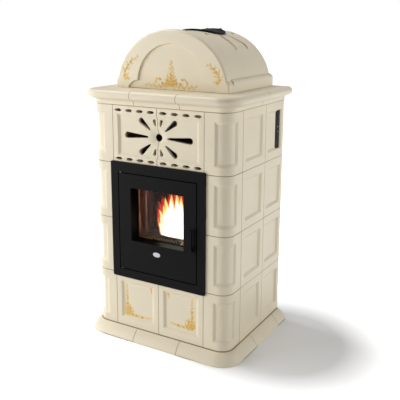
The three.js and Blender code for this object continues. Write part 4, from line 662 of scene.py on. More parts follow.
def pellet_tree():
    """Pellets tumbled over a surface."""
    grow = Growth("pellet heap")
    radius, length, density, seed = grow.sizes(Pellet_Radius=0.003, Pellet_Length=0.017, Density=20000.0, Seed=5)
    points = grow.get("DistributePointsOnFaces", {"Mesh": grow.ground, "Density": density, "Seed": seed})
    rod = grow.get("MeshCylinder", {"Vertices": 7, "Radius": radius, "Depth": length})
    tumble = grow.turn(grow.random(1.1, 2.0, seed), grow.random(-0.4, 0.4, grow.plus(seed, 1)),
                       grow.random(0.0, 6.3, grow.plus(seed, 2)))
    scale = grow.vector(1.0, 1.0, grow.random(0.55, 1.0, grow.plus(seed, 3)))
    return grow.finish(grow.placed(points, rod, Rotation=tumble, Scale=scale))


def rope_tree():
    """Strands twisted round a closed line."""
    grow = Growth("twisted rope")
    strand, twist, turns, strands = grow.sizes(Strand_Radius=0.0022, Twist_Radius=0.0018, Turns=60, Strands=3)
    curve = grow.get("MeshToCurve", {"Mesh": grow.ground})
    fine = grow.get("ResampleCurve", {"Curve": curve, "Count": grow.times(turns, 9.0)})
    copies = grow.placed(grow.get("Points", {"Count": strands}), fine)
    number = grow.get("StoreNamedAttribute", {
        "Geometry": copies, "Name": "strand", "Value": grow.get("InputIndex")},
        data_type="FLOAT", domain="INSTANCE")
    real = grow.get("RealizeInstances", {"Geometry": number})
    which = grow.get("InputNamedAttribute", {"Name": "strand"}, data_type="FLOAT")
    passed = grow.times(grow.get("SplineParameter"), turns)
    lay = grow.times(grow.plus(passed, grow.math("DIVIDE", which, strands)), 2 * pi)
    normal, tangent = grow.get("InputNormal"), grow.get("InputTangent")
    across = grow.get("ShaderNodeVectorMath", {0: normal, 1: tangent}, operation="CROSS_PRODUCT")
    out, aside = (
        grow.get("ShaderNodeVectorMath", {0: way, "Scale": grow.times(grow.math(wave, lay), twist)}, operation="SCALE")
        for way, wave in ((normal, "COSINE"), (across, "SINE")))
    shift = grow.get("ShaderNodeVectorMath", {0: out, 1: aside}, operation="ADD")
    wound = grow.get("SetPosition", {"Geometry": real, "Offset": shift})
    return grow.finish(grow.get("CurveToMesh", {"Curve": wound, "Profile Curve": grow.ring(6, strand)}))


def screw_tree():
    """A copy of a screw head at each point, turned at random."""
    grow = Growth("screw heads")
    grow.socket("Screw", "Object")
    facing, seed = grow.sizes(Facing=(0.0, 0.0, 0.0), Seed=2)
    head = grow.get("ObjectInfo", {"Object": grow.start.outputs["Screw"]}, "Geometry")
    whole = grow.get("FunctionNodeRotateRotation", {
        "Rotation": grow.get("FunctionNodeEulerToRotation", {"Euler": facing}),
        "Rotate By": grow.turn(0.0, 0.0, grow.random(0.0, 6.3, seed))}, rotation_space="LOCAL")
    return grow.finish(grow.placed(grow.ground, head, Rotation=whole))


# Settings


class GlazeSettings(bpy.types.PropertyGroup):
    cream: FloatVectorProperty(
        name="Cream", description="Colour of the glaze", subtype="COLOR", size=3, min=0, max=1,
        default=linear((230, 219, 194)))
    warm: FloatVectorProperty(
        name="Warm cloud", description="Colour of the warmer clouds in the glaze", subtype="COLOR", size=3, min=0,
        max=1, default=linear((227, 213, 184)))
    joint: FloatVectorProperty(
        name="Joint", description="Colour where the glaze breaks along the joints", subtype="COLOR", size=3, min=0,
        max=1, default=linear((160, 143, 114)))
    gloss: FloatProperty(
        name="Roughness", description="Roughness of the glaze", subtype="FACTOR", min=0.05, max=1, default=0.36)
    edge: FloatProperty(
        name="Panel rounding", description="Rounding of the tile panels, in millimetres", min=0.2, max=6, default=2.6)


class PaintSettings(bpy.types.PropertyGroup):
    gold: FloatVectorProperty(
        name="Gold", description="Colour of the leaves", subtype="COLOR", size=3, min=0, max=1,
        default=linear((234, 198, 108)))
    ochre: FloatVectorProperty(
        name="Ochre", description="Colour of the flowers and shaded strokes", subtype="COLOR", size=3, min=0, max=1,
        default=linear((213, 169, 80)))
    leaf: FloatProperty(
        name="Leaf length", description="Length of a painted leaf", unit="LENGTH", min=0.002, max=0.03, default=0.0098)
    spacing: FloatProperty(
        name="Leaf spacing", description="Distance between leaves on a stem", unit="LENGTH", min=0.001, max=0.03,
        default=0.0036)
    seed: IntProperty(name="Seed", description="Fixes where the leaves fall", min=0, default=11)


class DoorSettings(bpy.types.PropertyGroup):
    black: FloatVectorProperty(
        name="Black", description="Colour of the door's enamel", subtype="COLOR", size=3, min=0, max=1,
        default=linear((17, 17, 18)))
    gloss: FloatProperty(
        name="Roughness", description="Roughness of the enamel", subtype="FACTOR", min=0.1, max=1, default=0.42)
    strand: FloatProperty(
        name="Rope strand", description="Radius of one strand of the door's rope seal", unit="LENGTH", min=0.0005,
        max=0.004, default=0.0021)
    turns: IntProperty(name="Rope turns", description="Turns of the strands round the whole seal", min=10, default=84)


class FireSettings(bpy.types.PropertyGroup):
    pellet: FloatProperty(
        name="Pellet length", description="Longest length of a pellet", unit="LENGTH", min=0.005, max=0.04,
        default=0.018)
    radius: FloatProperty(
        name="Pellet radius", description="Radius of a pellet", unit="LENGTH", min=0.001, max=0.006, default=0.003)
    glow: FloatProperty(
        name="Flame strength", description="Brightness of the flame", min=0, max=20, default=1.0)
    seed: IntProperty(name="Seed", description="Fixes how the pellets lie", min=0, default=5)


class WorksSettings(bpy.types.PropertyGroup):
    screw: FloatProperty(
        name="Screw radius", description="Radius of a screw head on the rear panel", unit="LENGTH", min=0.002, max=0.01,
        default=0.0042)
    seed: IntProperty(name="Seed", description="Fixes how the screws are turned", min=0, default=2)


class StageSettings(bpy.types.PropertyGroup):
    place: FloatVectorProperty(
        name="Camera place", description="Where the camera stands", subtype="TRANSLATION", size=3, unit="LENGTH",
        default=(1.383, -2.314, 1.335))
    yaw: FloatProperty(
        name="Yaw", description="Turn of the camera to the left", subtype="ANGLE", unit="ROTATION",
        default=radians(31.04))
    pitch: FloatProperty(
        name="Pitch", description="Tilt of the camera downwards", subtype="ANGLE", unit="ROTATION",
        default=radians(12.86))
    lens: FloatProperty(
        name="Lens", description="Focal length on a 36 mm sensor, in millimetres", min=20, max=200, default=57.7)
    shift_x: FloatProperty(name="Shift X", description="Sideways shift of the frame", default=0.0315)
    shift_y: FloatProperty(name="Shift Y", description="Upward shift of the frame", default=-0.08)
    key: FloatProperty(
        name="Key lamp", description="Power of the high lamp on the left, which casts the shadow", unit="POWER", min=0,
        default=100)
    fill: FloatProperty(
        name="Side lamp", description="Power of the low lamp on the left, which rakes the front", unit="POWER", min=0,
        default=96)
    back: FloatProperty(
        name="Back lamp", description="Power of the lamp behind on the right, which rakes the side", unit="POWER",
        min=0, default=55)
    sky: FloatProperty(
        name="Room light", description="Strength of the light from all round, at the horizon", min=0, default=0.64)
    near: FloatProperty(
        name="Floor white", description="How far the floor in the stove's shadow is lifted to white", subtype="FACTOR",
        min=0, max=1, default=0.1)


# Operators


def joint_planes(node):
    """The planes of the joints on a tile or moulding: its own ends, and the joints pressed into it."""
    low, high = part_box(node)
    side = node.split("_")[0]
    if "corner_tile" in node:
        return [(2, low.z), (2, high.z), (0, high.x if side == "left" else low.x), (1, high.y)]
    if "side_tiles" in node:
        return [(2, z) for z in (*COURSES, TILE_TOP)] + [(1, low.y), (1, at(0, 318, 0).y)]
    if "tile" in node:
        return [(0, low.x), (0, high.x), (2, low.z), (2, high.z)]
    ends = {"left": [high.x], "right": [low.x], "front": [low.x, high.x]}[side]
    marks, level = ((195, 420), high.z) if "plinth" in node else ((270,), low.z)
    pressed = [(1, at(0, mark, 0).y) for mark in marks if side != "front"]
    return [(0, x) for x in ends] + [(2, level)] + pressed


class STOVE_OT_glaze_shell(bpy.types.Operator):
    """Finish the tiles, the plinth and the cornice of the shell in cream glaze."""

    bl_idname = "stove.glaze_shell"
    bl_label = "Glaze the shell"

    def execute(self, context):
        glaze = context.scene.stove_glaze
        cream = cream_glaze(glaze)
        corners = [f"corner_tile_{n}" for n in (1, 2, 3, 4)]
        rows = [(f"{side}_{part}", glaze.edge, 0.5) for parts in (corners, ("side_tiles", "painted_tile"))
                for side in LEFT_RIGHT for part in parts]
        rows += [(f"{side}_grille_tile", 1.2, 0.5) for side in LEFT_RIGHT]
        rows += [(f"{side}_{part}", 1.5, 1.3) for part in ("plinth", "cornice") for side in ("left", "front", "right")]
        for node, panel, rim in rows:
            dressed(node, cream, "ceramic", planes=joint_planes(node), panel=panel, rim=rim)
        return {"FINISHED"}


class STOVE_OT_glaze_dome(bpy.types.Operator):
    """Finish the arched front slab and the vault of the dome in cream glaze."""

    bl_idname = "stove.glaze_dome"
    bl_label = "Glaze the dome"

    def execute(self, context):
        dress("ceramic", kept("cream_glaze"), dome_front=(2.2, 3, 20), dome_vault=(2.0, 3, 20))
        return {"FINISHED"}


def arc_line(start, end, bend, steps=14):
    """Points from start to end on an upright face, bowed sideways by bend of their distance."""
    (x0, z0), (x1, z1) = start, end
    points = []
    for step in range(steps + 1):
        t = step / steps
        bow = 4 * t * (1 - t)
        points.append((x0 + (x1 - x0) * t - (z1 - z0) * bend * bow, z0 + (z1 - z0) * t + (x1 - x0) * bend * bow))
    return points


def branched(line, length, lean, every=2, taper=0.8):
    """Side shoots along a line, left and right in turn, shorter towards its tip by the taper's share."""
    shoots = []
    for index in range(1, len(line) - 1, every):
        (x0, z0), (x, z), (x1, z1) = line[index - 1:index + 2]
        side = 1 if (index // every) % 2 else -1
        reach = length * (1 - taper * index / len(line))
        turn = atan2(z1 - z0, x1 - x0) + side * lean
        shoots.append(arc_line((x, z), (x + reach * cos(turn), z + reach * sin(turn)), 0.12 * side, 5))
    return shoots


def fanned(foot, length, first, last, count):
    """Leafy stems that fan out from one foot between two angles in degrees, the middle ones longest."""
    stems = []
    for index in range(count):
        share = index / (count - 1)
        turn = radians(first + (last - first) * share)
        reach = length * (0.72 + 0.28 * sin(pi * share))
        stem = arc_line(foot, (foot[0] + reach * cos(turn), foot[1] + reach * sin(turn)),
                        0.08 * (-1) ** index, 8)
        stems += [stem] + branched(stem, reach * 0.4, 0.7)
    return stems


class STOVE_OT_paint_sprays(bpy.types.Operator):
    """Paint the gold sprays of leaves and flowers on the dome's front and the two lower tiles."""

    bl_idname = "stove.paint_sprays"
    bl_label = "Paint the sprays"

    def execute(self, context):
        paint = context.scene.stove_paint
        gold = gold_paint("gold_leaf_paint", paint.gold, paint.ochre)
        ochre = gold_paint("ochre_flower_paint", paint.ochre, shaded(paint.ochre, 0.75))
        leaves, flowers = leaf_tree(), flower_tree()
        slab, arch, tile = 98, 107, 8

        def spray(name, depth, stems, heads, size, seed):
            leaf, seed = paint.leaf * size, paint.seed + seed
            lines = line_mesh(name, [[at(x, depth, z) for x, z in stem] for stem in stems])
            grown(f"{name}_leaves", lines, leaves, gold, "stove", Leaf_Length=leaf, Leaf_Width=leaf * 0.5,
                  Leaf_Depth=0.0012, Spacing=paint.spacing * size, Lean=0.75, Stalk_Radius=0.0006, Seed=seed)
            points = plain_mesh(name, [at(x, depth, z) for x, z in heads])
            grown(f"{name}_flowers", points, flowers, ochre, "stove", Petal_Length=leaf * 0.7, Petal_Depth=0.0016,
                  Petals=6, Seed=seed + 3)

        # The spray in the arch: a spike over a fan of stems, and an arm to either side along the foot.
        spike = arc_line((0, 1084), (0, 1186), 0.0, 24)
        stems = [spike] + branched(spike, 34, 0.8, 2, 0.95) + fanned((0, 1084), 44, 22, 158, 7)
        for side in (-1, 1):
            arm = arc_line((side * 4, 1088), (side * 122, 1086), -0.05 * side, 20)
            curl = arc_line((side * 74, 1091), (side * 50, 1112), -0.3 * side, 8)
            stems += [arm, curl] + branched(arm, 15, 0.9, 2, 0.5) + branched(curl, 7, 0.9)
        heads = [(0, 1088), (-12, 1091), (12, 1091), (-6, 1101), (7, 1102), (0, 1113), (-24, 1094), (25, 1094),
                 (-17, 1104), (18, 1105), (0, 1128), (-42, 1093), (43, 1093), (-52, 1109), (52, 1109)]
        spray("arch_spray", arch, stems, heads, 0.84, 1)

        # A spray on either side of the slab, rising with its curve.
        for side, foot, tip, bend, name in ((-1, (-226, 1112), (-150, 1198), 0.14, "left"),
                                            (1, (227, 1112), (170, 1176), -0.12, "right")):
            line = arc_line(foot, tip, bend, 16)
            lower = arc_line(foot, (foot[0] - side * 30, foot[1] - 4), 0.1 * side, 7)
            stems = [line, lower] + branched(line, 26, 0.9, 2, 0.7) + branched(lower, 13, 0.8)
            spray(f"{name}_slab_spray", slab, stems, [*line[1:8:2], line[10], lower[3]], 0.84, 5 + side)

        # A corner spray and a small tuft on either lower tile.
        for side, name, edge, low, rise, run, middle, top in (
                (-1, "left", -169, 101, 234, (-44, 104), -44, 246), (1, "right", 161, 111, 246, (54, 113), 49, 249)):
            tall = arc_line((edge, low), (edge - side * 2, rise), 0.015 * side, 26)
            flat = arc_line((edge, low), run, 0.03 * side, 22)
            stems = [tall, flat] + fanned((edge + side * 4, low - 4), 50, 90 - side * 8, 90 + side * 82, 6)
            stems += branched(tall, 19, 0.7, 2, 0.85) + branched(flat, 17, 0.7)
            heads = [(edge - side * x, low + z)
                     for x, z in ((2, 2), (14, 4), (6, 15), (20, 15), (28, 3), (6, 30), (18, 28))]
            spray(f"{name}_tile_spray", tile, stems, heads + [tall[9], tall[14], flat[9], flat[14]], 0.9, 11 + side)
            tuft = arc_line((middle - 10, top - 3), (middle + 10, top), 0.1, 8)
            drop = arc_line((middle - side * 5, top), (middle - side * 3, top - 28), 0.05, 9)
            tufts = [tuft, drop] + branched(tuft, 7, 0.8) + branched(drop, 9, 0.8)
            spray(f"{name}_tile_tuft", tile, tufts, [(middle, top - 3), (middle - side * 5, top - 10)], 0.75, 21 + side)
        return {"FINISHED"}


def lay_rope(door):
    """Twists the rope seal round the middle of the seal's own section."""
    low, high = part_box("door_seal")
    depth, half, bend = (low.y + high.y) / 2, (high.y - low.y) / 2, 14 * MM
    inset = min(half, 4.5 * MM) + bend
    line = []
    for x, z, start in ((high.x, high.z, 0), (low.x, high.z, 90), (low.x, low.z, 180), (high.x, low.z, 270)):
        middle = Vector((x - copysign(inset, x), depth, z - inset if z == high.z else z + inset))
        for turn in (radians(start + 15 * step) for step in range(7)):
            line.append(middle + bend * Vector((cos(turn), 0.0, sin(turn))))
    rope = grown("door_seal_rope", line_mesh("seal_line", [line], closed=True), rope_tree(), glass_rope(), "door",
                 "rope", Strand_Radius=door.strand, Twist_Radius=max(half - door.strand, 0.0008), Turns=door.turns,
                 Strands=3)
    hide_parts("door_seal")


class STOVE_OT_hang_door(bpy.types.Operator):
    """Finish the door surround, the door with its glass and rope seal, the badge and the handle."""

    bl_idname = "stove.hang_door"
    bl_label = "Hang the door"

    def execute(self, context):
        door = context.scene.stove_door
        dress("black_steel", black_enamel("black_enamel", door.black, door.gloss), door_surround=(1.4, 3))
        # Panel and retainer are painted near black from 14 mm behind the panel's face, as painted shade in the window's
        # reveals.
        reveal_shade = black_enamel("sooted_enamel", door.black, door.gloss, reveal_shade=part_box("door_panel")[0].y + 14 * MM)
        dress("black_steel", reveal_shade, door_panel=(1.6, 3), glass_retainer=0.7)
        dress("black_steel", black_enamel("handle_enamel", shaded(door.black, 0.8), 0.34, 1.1), door_handle=(1.6, 3))
        dress("glass", heat_glass(), door_glass=0.5)
        dress("stainless", bare_metal("brushed_badge", (172, 174, 177), 0.4, 0.8, (1, 1, 0.06), 0.6),
              door_badge=(0.5, 3))
        dress("galvanised", bare_metal("turned_steel", (150, 150, 150), 0.3, 1.0, (1, 1, 9)), hinge_rod=0.5)
        lay_rope(door)
        return {"FINISHED"}


class STOVE_OT_fit_lid(bpy.types.Operator):
    """Finish the round hopper lid."""

    bl_idname = "stove.fit_lid"
    bl_label = "Fit the hopper lid"

    def execute(self, context):
        dress("black_steel", black_enamel("lid_enamel", (26, 26, 27), 0.45, 1.2), hopper_lid=(1.2, 3))
        return {"FINISHED"}


def screw_head(radius):
    """A domed screw head with a six-sided socket, facing along Z."""
    sides, profile = 12, ((1.0, -0.3), (1.0, 0.15), (0.9, 0.34), (0.62, 0.46), (0.44, 0.48), (0.44, 0.08))
    vertices = []
    for level, (reach, z) in enumerate(profile):
        for side, (c, s) in enumerate(circle(sides)):
            out = radius * reach * (cos(pi / 6) if level > 3 and side % 2 else 1.0)
            vertices.append(Vector((out * c, out * s, radius * z)))
    return mesh_of("screw_head", [(vertices, capped(len(profile), sides))])


def screwed(name, points, head, facing, seed, steel, slot):
    """Sets a copy of a screw head at each point."""
    template = linked("screw_template", head)
    tree = bpy.data.node_groups.get("screw heads") or screw_tree()
    grown(name, plain_mesh(name, points), tree, steel, "stove", slot, Screw=template, Facing=facing, Seed=seed)
    bpy.data.objects.remove(template)


def tooth_pot():
    """Lays a row of rounded teeth along the pot's front wall, in pale ash-grey iron made lighter as painted firelight.
    """
    low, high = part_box("burn_pot")
    foot, rise = high.z - 11 * MM, 10.2 * MM
    radii = [2.3 * MM * (1.0 - 0.35 * abs(k / 3 - 1) ** 3) for k in range(7)]
    parts = [tube([Vector((x * 10.5 * MM, low.y - 0.2 * MM, foot + rise * k / 6)) for k in range(7)], radii, 10,
                  [0.8 * r for r in radii]) for x in range(-5, 6)]
    # The teeth's pale colour stands in for the fire's light on them: painted firelight over ash grey.
    piece("pot_teeth", smoothed(mesh_of("pot_teeth", parts)), "pot",
          fired_iron("ashen_teeth", (196, 176, 150), (226, 208, 182)))


def bolt_lining(works):
    """Drives a bolt into either cheek, and two into the back wall, where they meet the lining."""
    liner = BVHTree.FromBMesh(merged("firebox_liner"))
    steel = bare_metal("heated_bolt", (150, 128, 108), 0.36, 0.8, metallic=0.8)
    quarter = pi / 2
    for wall, way, facing, starts in (
            ("back", (0, 1, 0), (quarter, 0.0, 0.0), (at(-95, 140, 573), at(-113, 140, 565))),
            ("left", (-1, 0, 0), (0.0, quarter, 0.0), (at(0, 84, 481),)),
            ("right", (1, 0, 0), (0.0, -quarter, 0.0), (at(0, 84, 481),))):
        screwed(f"{wall}_wall_bolts", [liner.ray_cast(start, Vector(way))[0] for start in starts],
                screw_head(works.screw * 1.5), facing, works.seed, steel, "stainless")


def fill_pot(fire):
    """Lays glowing pellets in the pot, on a bed that dips towards its middle."""
    reaches, sides = (1, 12, 22, 30), 16
    bed = [at(r * c, 80 + 0.55 * r * s, 428 + r * 0.2) for r in reaches for c, s in circle(sides)]
    grown("burning_pellets", plain_mesh("pot_bed", bed, (), bands(len(reaches), sides)), pellet_tree(), embers(), "pot",
          Pellet_Radius=fire.radius, Pellet_Length=fire.pellet * 0.8, Density=60000.0, Seed=fire.seed)


TONGUE_RINGS, TONGUE_SIDES = 19, 12


def tongue(x, tip, radius, lean, curl, foot, back):
    """One flat tongue of flame, from its foot at the depth back to a tip drawn forward past the baffle's edge."""
    points, radii, depths = [], [], []
    for step in range(TONGUE_RINGS):
        t = step / (TONGUE_RINGS - 1)
        rise = (tip - foot) * t
        forward = min(1.0, max(0.0, (rise - 40) / 140))
        forward = forward * forward * (3 - 2 * forward)
        sway = lean * t * t + curl * sin(t * 5.0 + x) * t + 30 * forward
        swell = sin(pi * min(1.0, 0.3 + 0.7 * t) ** 0.9) if step else 0.7
        points.append(at(x + sway, back - 52 * forward, foot + rise))
        radii.append(max(0.3, 1.14 * radius * swell) * MM)
        depths.append(min(radii[-1] * 0.6, (3.2 - 1.4 * forward) * MM))
    return tube(points, radii, TONGUE_SIDES, depths)


def light(glow):
    """Builds the flame in three layers, the hottest nearest the window, rising from the back of the pot."""
    red, orange, yellow, white = (0.80, 0.03, 0.02), (1.0, 0.3, 0.03), (1.0, 0.72, 0.2), (1.0, 0.97, 0.82)
    layers = (
        ("flame_fringe", 112, 450, (orange, red), (0.62, 0.02, 0.01), 1.1, 680, (
            (-46, 512, 15, -34, 3), (-48, 548, 18, -31, 4), (-42, 584, 20, -34, 5), (-32, 616, 22, -30, 5),
            (-18, 643, 24, -26, 5), (2, 662, 26, -16, 6), (24, 668, 28, -10, 6), (46, 669, 26, -8, 6),
            (64, 664, 20, -10, 5))),
        ("flame_body", 107, 450, (white, yellow), orange, 1.5, 690, (
            (-42, 502, 13, -24, 3), (-40, 538, 16, -22, 4), (-32, 572, 19, -24, 5), (-22, 606, 21, -22, 5),
            (-6, 636, 24, -19, 5), (14, 660, 26, -12, 6), (36, 666, 26, -10, 6), (58, 658, 20, -10, 5))),
        ("flame_core", 102, 451, (white, white), yellow, 2.2, 710, (
            (-24, 522, 13, -10, 3), (-18, 562, 17, -9, 4), (-4, 602, 21, -13, 4), (14, 638, 24, -12, 5),
            (36, 650, 25, -10, 5), (54, 634, 18, -8, 4))))
    rim = [max(abs(c), (ring / (TONGUE_RINGS - 1)) ** 4)
           for ring in range(TONGUE_RINGS) for c, _ in circle(TONGUE_SIDES)]
    for name, back, foot, low, high, strength, tip, tongues in layers:
        mesh = smoothed(mesh_of(name, [tongue(*each, foot, back) for each in tongues]))
        mesh.materials.append(burning(name, low, high, strength * glow, tip))
        mesh.attributes.new("rim", "FLOAT", "POINT").data.foreach_set("value", rim * len(tongues))
        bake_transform(linked(name, mesh), "pot", "stove", at(0, 107, 452), at(0, 107, 640))


class STOVE_OT_lay_fire(bpy.types.Operator):
    """Finish the fire chamber, and light pellets in its burn pot."""

    bl_idname = "stove.lay_fire"
    bl_label = "Lay the fire"

    def execute(self, context):
        dress("black_steel", black_enamel("firebox_enamel", (30, 29, 28), 0.6, 2.0), firebox=0.7)
        dress("vermiculite", browned_lining(at(0, 175, 0).y), firebox_liner=1.0, baffle=1.5)
        dress("cast_iron", fired_iron("ashy_iron", (150, 128, 106), (190, 174, 152)), hearth_plate=0.8)
        dress("cast_iron", fired_iron("fired_iron", (40, 38, 36), (74, 69, 63)), burn_pot=1.0)
        dress("galvanised", galvanised_sheet(), ash_drawer=0.6)
        steel = bare_metal("brushed_steel", (168, 166, 160), 0.32, 1.0, (1, 0.1, 1), 0.9, (120, 88, 60))
        dress("stainless", steel, igniter=0.3)
        tooth_pot()
        bolt_lining(context.scene.stove_works)
        fill_pot(context.scene.stove_fire)
        light(context.scene.stove_fire.glow)
        return {"FINISHED"}


def fill_hopper(fire):
    """Lays pellets in the hopper, on a bed that mounds towards its middle."""
    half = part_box("hopper")[1].x - 24 * MM
    front, back, level = at(0, 252, 0).y, at(0, 446, 0).y, at(0, 0, 985).z
    steps = 12
    row = steps + 1
    bed = []
    for v in (j / steps for j in range(row)):
        for u in (i / steps for i in range(row)):
            mound = 26 * MM * sin(pi * u) * sin(pi * v)
            bed.append((max(-0.155, min(0.155, -half + 2 * half * u)), front + (back - front) * v, level + mound))
    faces = [(a, a + 1, a + row + 1, a + row) for j in range(steps) for a in range(j * row, j * row + steps)]
    grown("hopper_pellets", plain_mesh("pellet_bed", bed, (), faces), bpy.data.node_groups["pellet heap"],
          pressed_wood(), "stove", Pellet_Radius=fire.radius, Pellet_Length=fire.pellet, Density=30000.0,
          Seed=fire.seed + 4)


class STOVE_OT_fit_feed(bpy.types.Operator):
    """Finish the hopper, the feed auger and its gearmotor, and fill the hopper with pellets."""

    bl_idname = "stove.fit_feed"
    bl_label = "Fit the pellet feed"

    def execute(self, context):
        dress("galvanised", galvanised_sheet("hopper_sheet", at(0, 0, 1262).z), hopper=0.6)
        dress("galvanised", kept("galvanised_sheet"), auger_tube=0.6)
        dress("stainless", bare_metal("worn_steel", (160, 160, 158), 0.3, 1.2, (1, 0.2, 1), 0.95),
              auger_screw=0.3)
        dress("galvanised", bare_metal("cast_alloy", (146, 148, 150), 0.5, 2.5, (1, 1, 1), 0.8),
              auger_gearmotor=(1.2, 3))
        fill_hopper(context.scene.stove_fire)
        return {"FINISHED"}


class STOVE_OT_fit_fans(bpy.types.Operator):
    """Finish the smoke fan and the room-air fan, the smoke duct and the two pipes at the back."""

    bl_idname = "stove.fit_fans"
    bl_label = "Fit the fans and pipes"

    def execute(self, context):
        dress("galvanised", kept("galvanised_sheet"), smoke_duct=0.6, smoke_fan_housing=0.6,
              room_fan_housing=0.6, air_intake_pipe=0.6)
        dress("galvanised", bare_metal("aluminised_pipe", (176, 178, 180), 0.36, 1.6, (1, 0.1, 1), 0.85),
              exhaust_pipe=0.7)
        dress("stainless", kept("brushed_steel"), smoke_impeller=0.3)
        dress("black_plastic", moulded_plastic("motor_plastic", (34, 34, 36), 0.5, 1.4),
              smoke_fan_motor=0.8, room_fan_rotor=0.2)
        return {"FINISHED"}


class STOVE_OT_fit_frame(bpy.types.Operator):
    """Finish the chassis and the rear panel, and drive in the panel's screws."""

    bl_idname = "stove.fit_frame"
    bl_label = "Fit the chassis and rear panel"

    def execute(self, context):
        works = context.scene.stove_works
        dress("galvanised", kept("galvanised_sheet"), chassis=0.8, rear_panel=0.5)
        low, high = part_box("rear_panel")
        inset = 10 * MM
        foot, top = low.z + inset, high.z - inset
        points = [(x, high.y, foot + (high.z - low.z - 2 * inset) * k / 6)
                  for x in (low.x + inset, high.x - inset) for k in range(7)]
        points += [(x, high.y, z) for x in (-0.14, 0.0, 0.14) for z in (foot, top)]
        screwed("rear_panel_screws", points, screw_head(works.screw * 0.9), (-pi / 2, 0.0, 0.0), works.seed,
                bare_metal("plated_screw", (150, 150, 146), 0.34, 0.7), "galvanised")
        return {"FINISHED"}


def light_button(node, body, material):
    """Sets a small domed lens in the middle of a button's face."""
    low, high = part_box(node)
    middle = (low + high) / 2
    rings, sides = ((2.6, -0.6), (2.6, 0.1), (2.2, 0.35), (1.2, 0.55)), 14
    vertices = [Vector((high.x + (out - 0.45) * MM, middle.y + r * MM * c, middle.z + r * MM * s))
                for r, out in rings for c, s in circle(sides)]
    name = f"{node}_lens"
    piece(name, mesh_of(name, [(vertices, capped(len(rings), sides))]), body, material)


class STOVE_OT_fit_controls(bpy.types.Operator):
    """Finish the control panel with its five lit buttons, and the mains inlet with its switch."""

    bl_idname = "stove.fit_controls"
    bl_label = "Fit the controls"

    def execute(self, context):
        dress("black_plastic", moulded_plastic("control_strip", (24, 23, 20), 0.55, 1.0, 0.1),
              control_panel=(1.0, 3))
        cap = moulded_plastic("button_cap", (20, 20, 18), 0.5, 0.7, 0.15)
        lamps = (("dim", (150, 160, 140), 0.25), ("faint", (150, 170, 140), 0.45), ("lit", (225, 245, 220), 1.3),
                 ("bright", (235, 250, 232), 1.5), ("low", (160, 180, 150), 0.4))
        for number, (word, levels, strength) in enumerate(lamps, 1):
            dressed(f"control_button_{number}", cap, "black_plastic", 0.5)
            lamp = lamp_spot(f"lamp_{word}", levels, strength)
            light_button(f"control_button_{number}", f"button_{number}", lamp)
        dress("black_plastic", moulded_plastic("inlet_plastic", (26, 26, 27), 0.45), power_inlet=0.5)
        dress("black_plastic", moulded_plastic("switch_plastic", (20, 20, 20), 0.3), power_switch=0.5)
        return {"FINISHED"}


def lay_floor(near):
    """A wide floor that shows white to the camera, with a painted shadow patch: its white lift is held back round a
    fixed point where the stove's shadow falls, and dimmed close to the stove as painted contact shade.
    """
    reach = 30.0
    corners = [(-reach, -reach, 0), (reach, -reach, 0), (reach, reach, 0), (-reach, reach, 0)]
    floor = linked("floor", plain_mesh("floor", corners, (), [(0, 1, 2, 3)]))
    made = Finish("pale_floor", Roughness=0.9, Specular_IOR_Level=0.1)
    made.done(made.ramp(made.noise(400, 2), (0.3, (236, 236, 237)), (0.7, (240, 240, 240))))
    path = made.add("LightPath").outputs
    seen = made.math("MAXIMUM", path["Is Camera Ray"], path["Is Glossy Ray"])
    # Painted shadow patch: the white lift rises from near to full between 0.27 and 0.55 m from a fixed point beside the
    # stove.
    shadow_patch_distance = made.get("VectorMath", {0: made.place, 1: (0.42, 0.04, 0.0)}, "Value", operation="DISTANCE")
    open_sky = made.get("AmbientOcclusion", {"Distance": 0.12}, "AO")
    # Ambient occlusion squared dims the lift close to the stove: painted contact shade.
    share = made.times(made.span(shadow_patch_distance, near, 1.0, 0.27, 0.55), made.math("POWER", open_sky, 2.0))
    glow = made.get("Emission", {"Color": (1.0, 1.0, 1.0, 1.0), "Strength": made.times(seen, share)})
    both = made.get("AddShader", {0: made.surface.outputs["BSDF"], 1: glow})
    made.feed(made.out.inputs["Surface"], both)
    floor.data.materials.append(made.material)


def light_room(sky):
    """Light from all round, fading towards the ceiling, and white where the camera looks past the floor."""
    world = bpy.data.worlds.new("pale_room")
    bpy.context.scene.world = world
    world.use_nodes = True
    made = Tree(world.node_tree)
    made.tree.nodes.clear()
    way = made.get("TexCoord", output="Generated")
    fade = made.span(made.get("SeparateXYZ", {"Vector": way}, "Z"), sky, 0.0)
    seen = made.get("LightPath", output="Is Camera Ray")
    background = made.get("Background", {
        "Color": (1.0, 1.0, 1.0, 1.0), "Strength": made.span(seen, fade, 1.0)})
    made.add("OutputWorld", {"Surface": background})


def hang_lamp(name, place, size, power):
    lamp = bpy.data.lights.new(name, "AREA")
    lamp.energy = power
    lamp.size = size
    hung = linked(name, lamp)
    hung.location = place
    hung.rotation_euler = (Vector((0, 0, 0.7)) - Vector(place)).to_track_quat("-Z", "Y").to_euler()


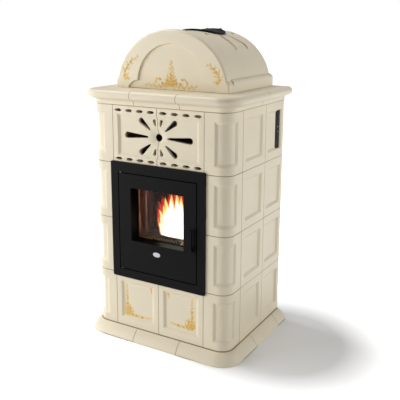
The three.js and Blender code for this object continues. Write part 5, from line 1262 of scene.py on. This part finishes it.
class STOVE_OT_set_stage(bpy.types.Operator):
    """Lay the pale floor, hang the lamps and place the camera."""

    bl_idname = "stove.set_stage"
    bl_label = "Set the stage"

    def execute(self, context):
        stage = context.scene.stove_stage
        lay_floor(stage.near)
        light_room(stage.sky)
        hang_lamp("key_lamp", (-2.1, -0.1, 4.34), 1.7, stage.key)
        hang_lamp("side_lamp", (-3.03, -2.55, 1.26), 2.6, stage.fill)
        hang_lamp("back_lamp", (3.49, 1.41, 2.06), 2.4, stage.back)
        camera = linked("camera", bpy.data.cameras.new("camera"))
        camera.location = stage.place
        camera.rotation_euler = (pi / 2 - stage.pitch, 0.0, stage.yaw)
        for measure, value in (("sensor_width", 36), ("lens", stage.lens), ("shift_x", stage.shift_x),
                               ("shift_y", stage.shift_y)):
            setattr(camera.data, measure, value)
        context.scene.camera = camera
        context.scene.view_settings.view_transform = "Standard"
        return {"FINISHED"}


OPERATORS = (
    STOVE_OT_glaze_shell, STOVE_OT_glaze_dome, STOVE_OT_paint_sprays, STOVE_OT_hang_door, STOVE_OT_fit_lid,
    STOVE_OT_lay_fire, STOVE_OT_fit_feed, STOVE_OT_fit_fans, STOVE_OT_fit_frame, STOVE_OT_fit_controls,
    STOVE_OT_set_stage)
SETTINGS = {
    "stove_glaze": GlazeSettings, "stove_paint": PaintSettings, "stove_door": DoorSettings,
    "stove_fire": FireSettings, "stove_works": WorksSettings, "stove_stage": StageSettings}


class STOVE_PT_sidebar(bpy.types.Panel):
    """Lists the steps that finish the stove."""

    bl_label = "Pellet stove"
    bl_idname = "STOVE_PT_sidebar"
    bl_space_type = "VIEW_3D"
    bl_region_type = "UI"
    bl_category = "Pellet Stove"

    def draw(self, context):
        for operator in OPERATORS:
            self.layout.operator(operator.bl_idname)
        for name, group in SETTINGS.items():
            box = self.layout.box()
            for setting in group.__annotations__:
                box.prop(getattr(context.scene, name), setting)


def register():
    for kind in (*SETTINGS.values(), *OPERATORS, STOVE_PT_sidebar):
        bpy.utils.register_class(kind)
    for name, group in SETTINGS.items():
        setattr(bpy.types.Scene, name, PointerProperty(type=group))


def unregister():
    for name in SETTINGS:
        delattr(bpy.types.Scene, name)
    for kind in (STOVE_PT_sidebar, *reversed(OPERATORS), *SETTINGS.values()):
        bpy.utils.unregister_class(kind)


def main():
    register()
    for operator in OPERATORS:
        getattr(bpy.ops.stove, operator.bl_idname.split(".")[1])()


if __name__ == "__main__":
    main()
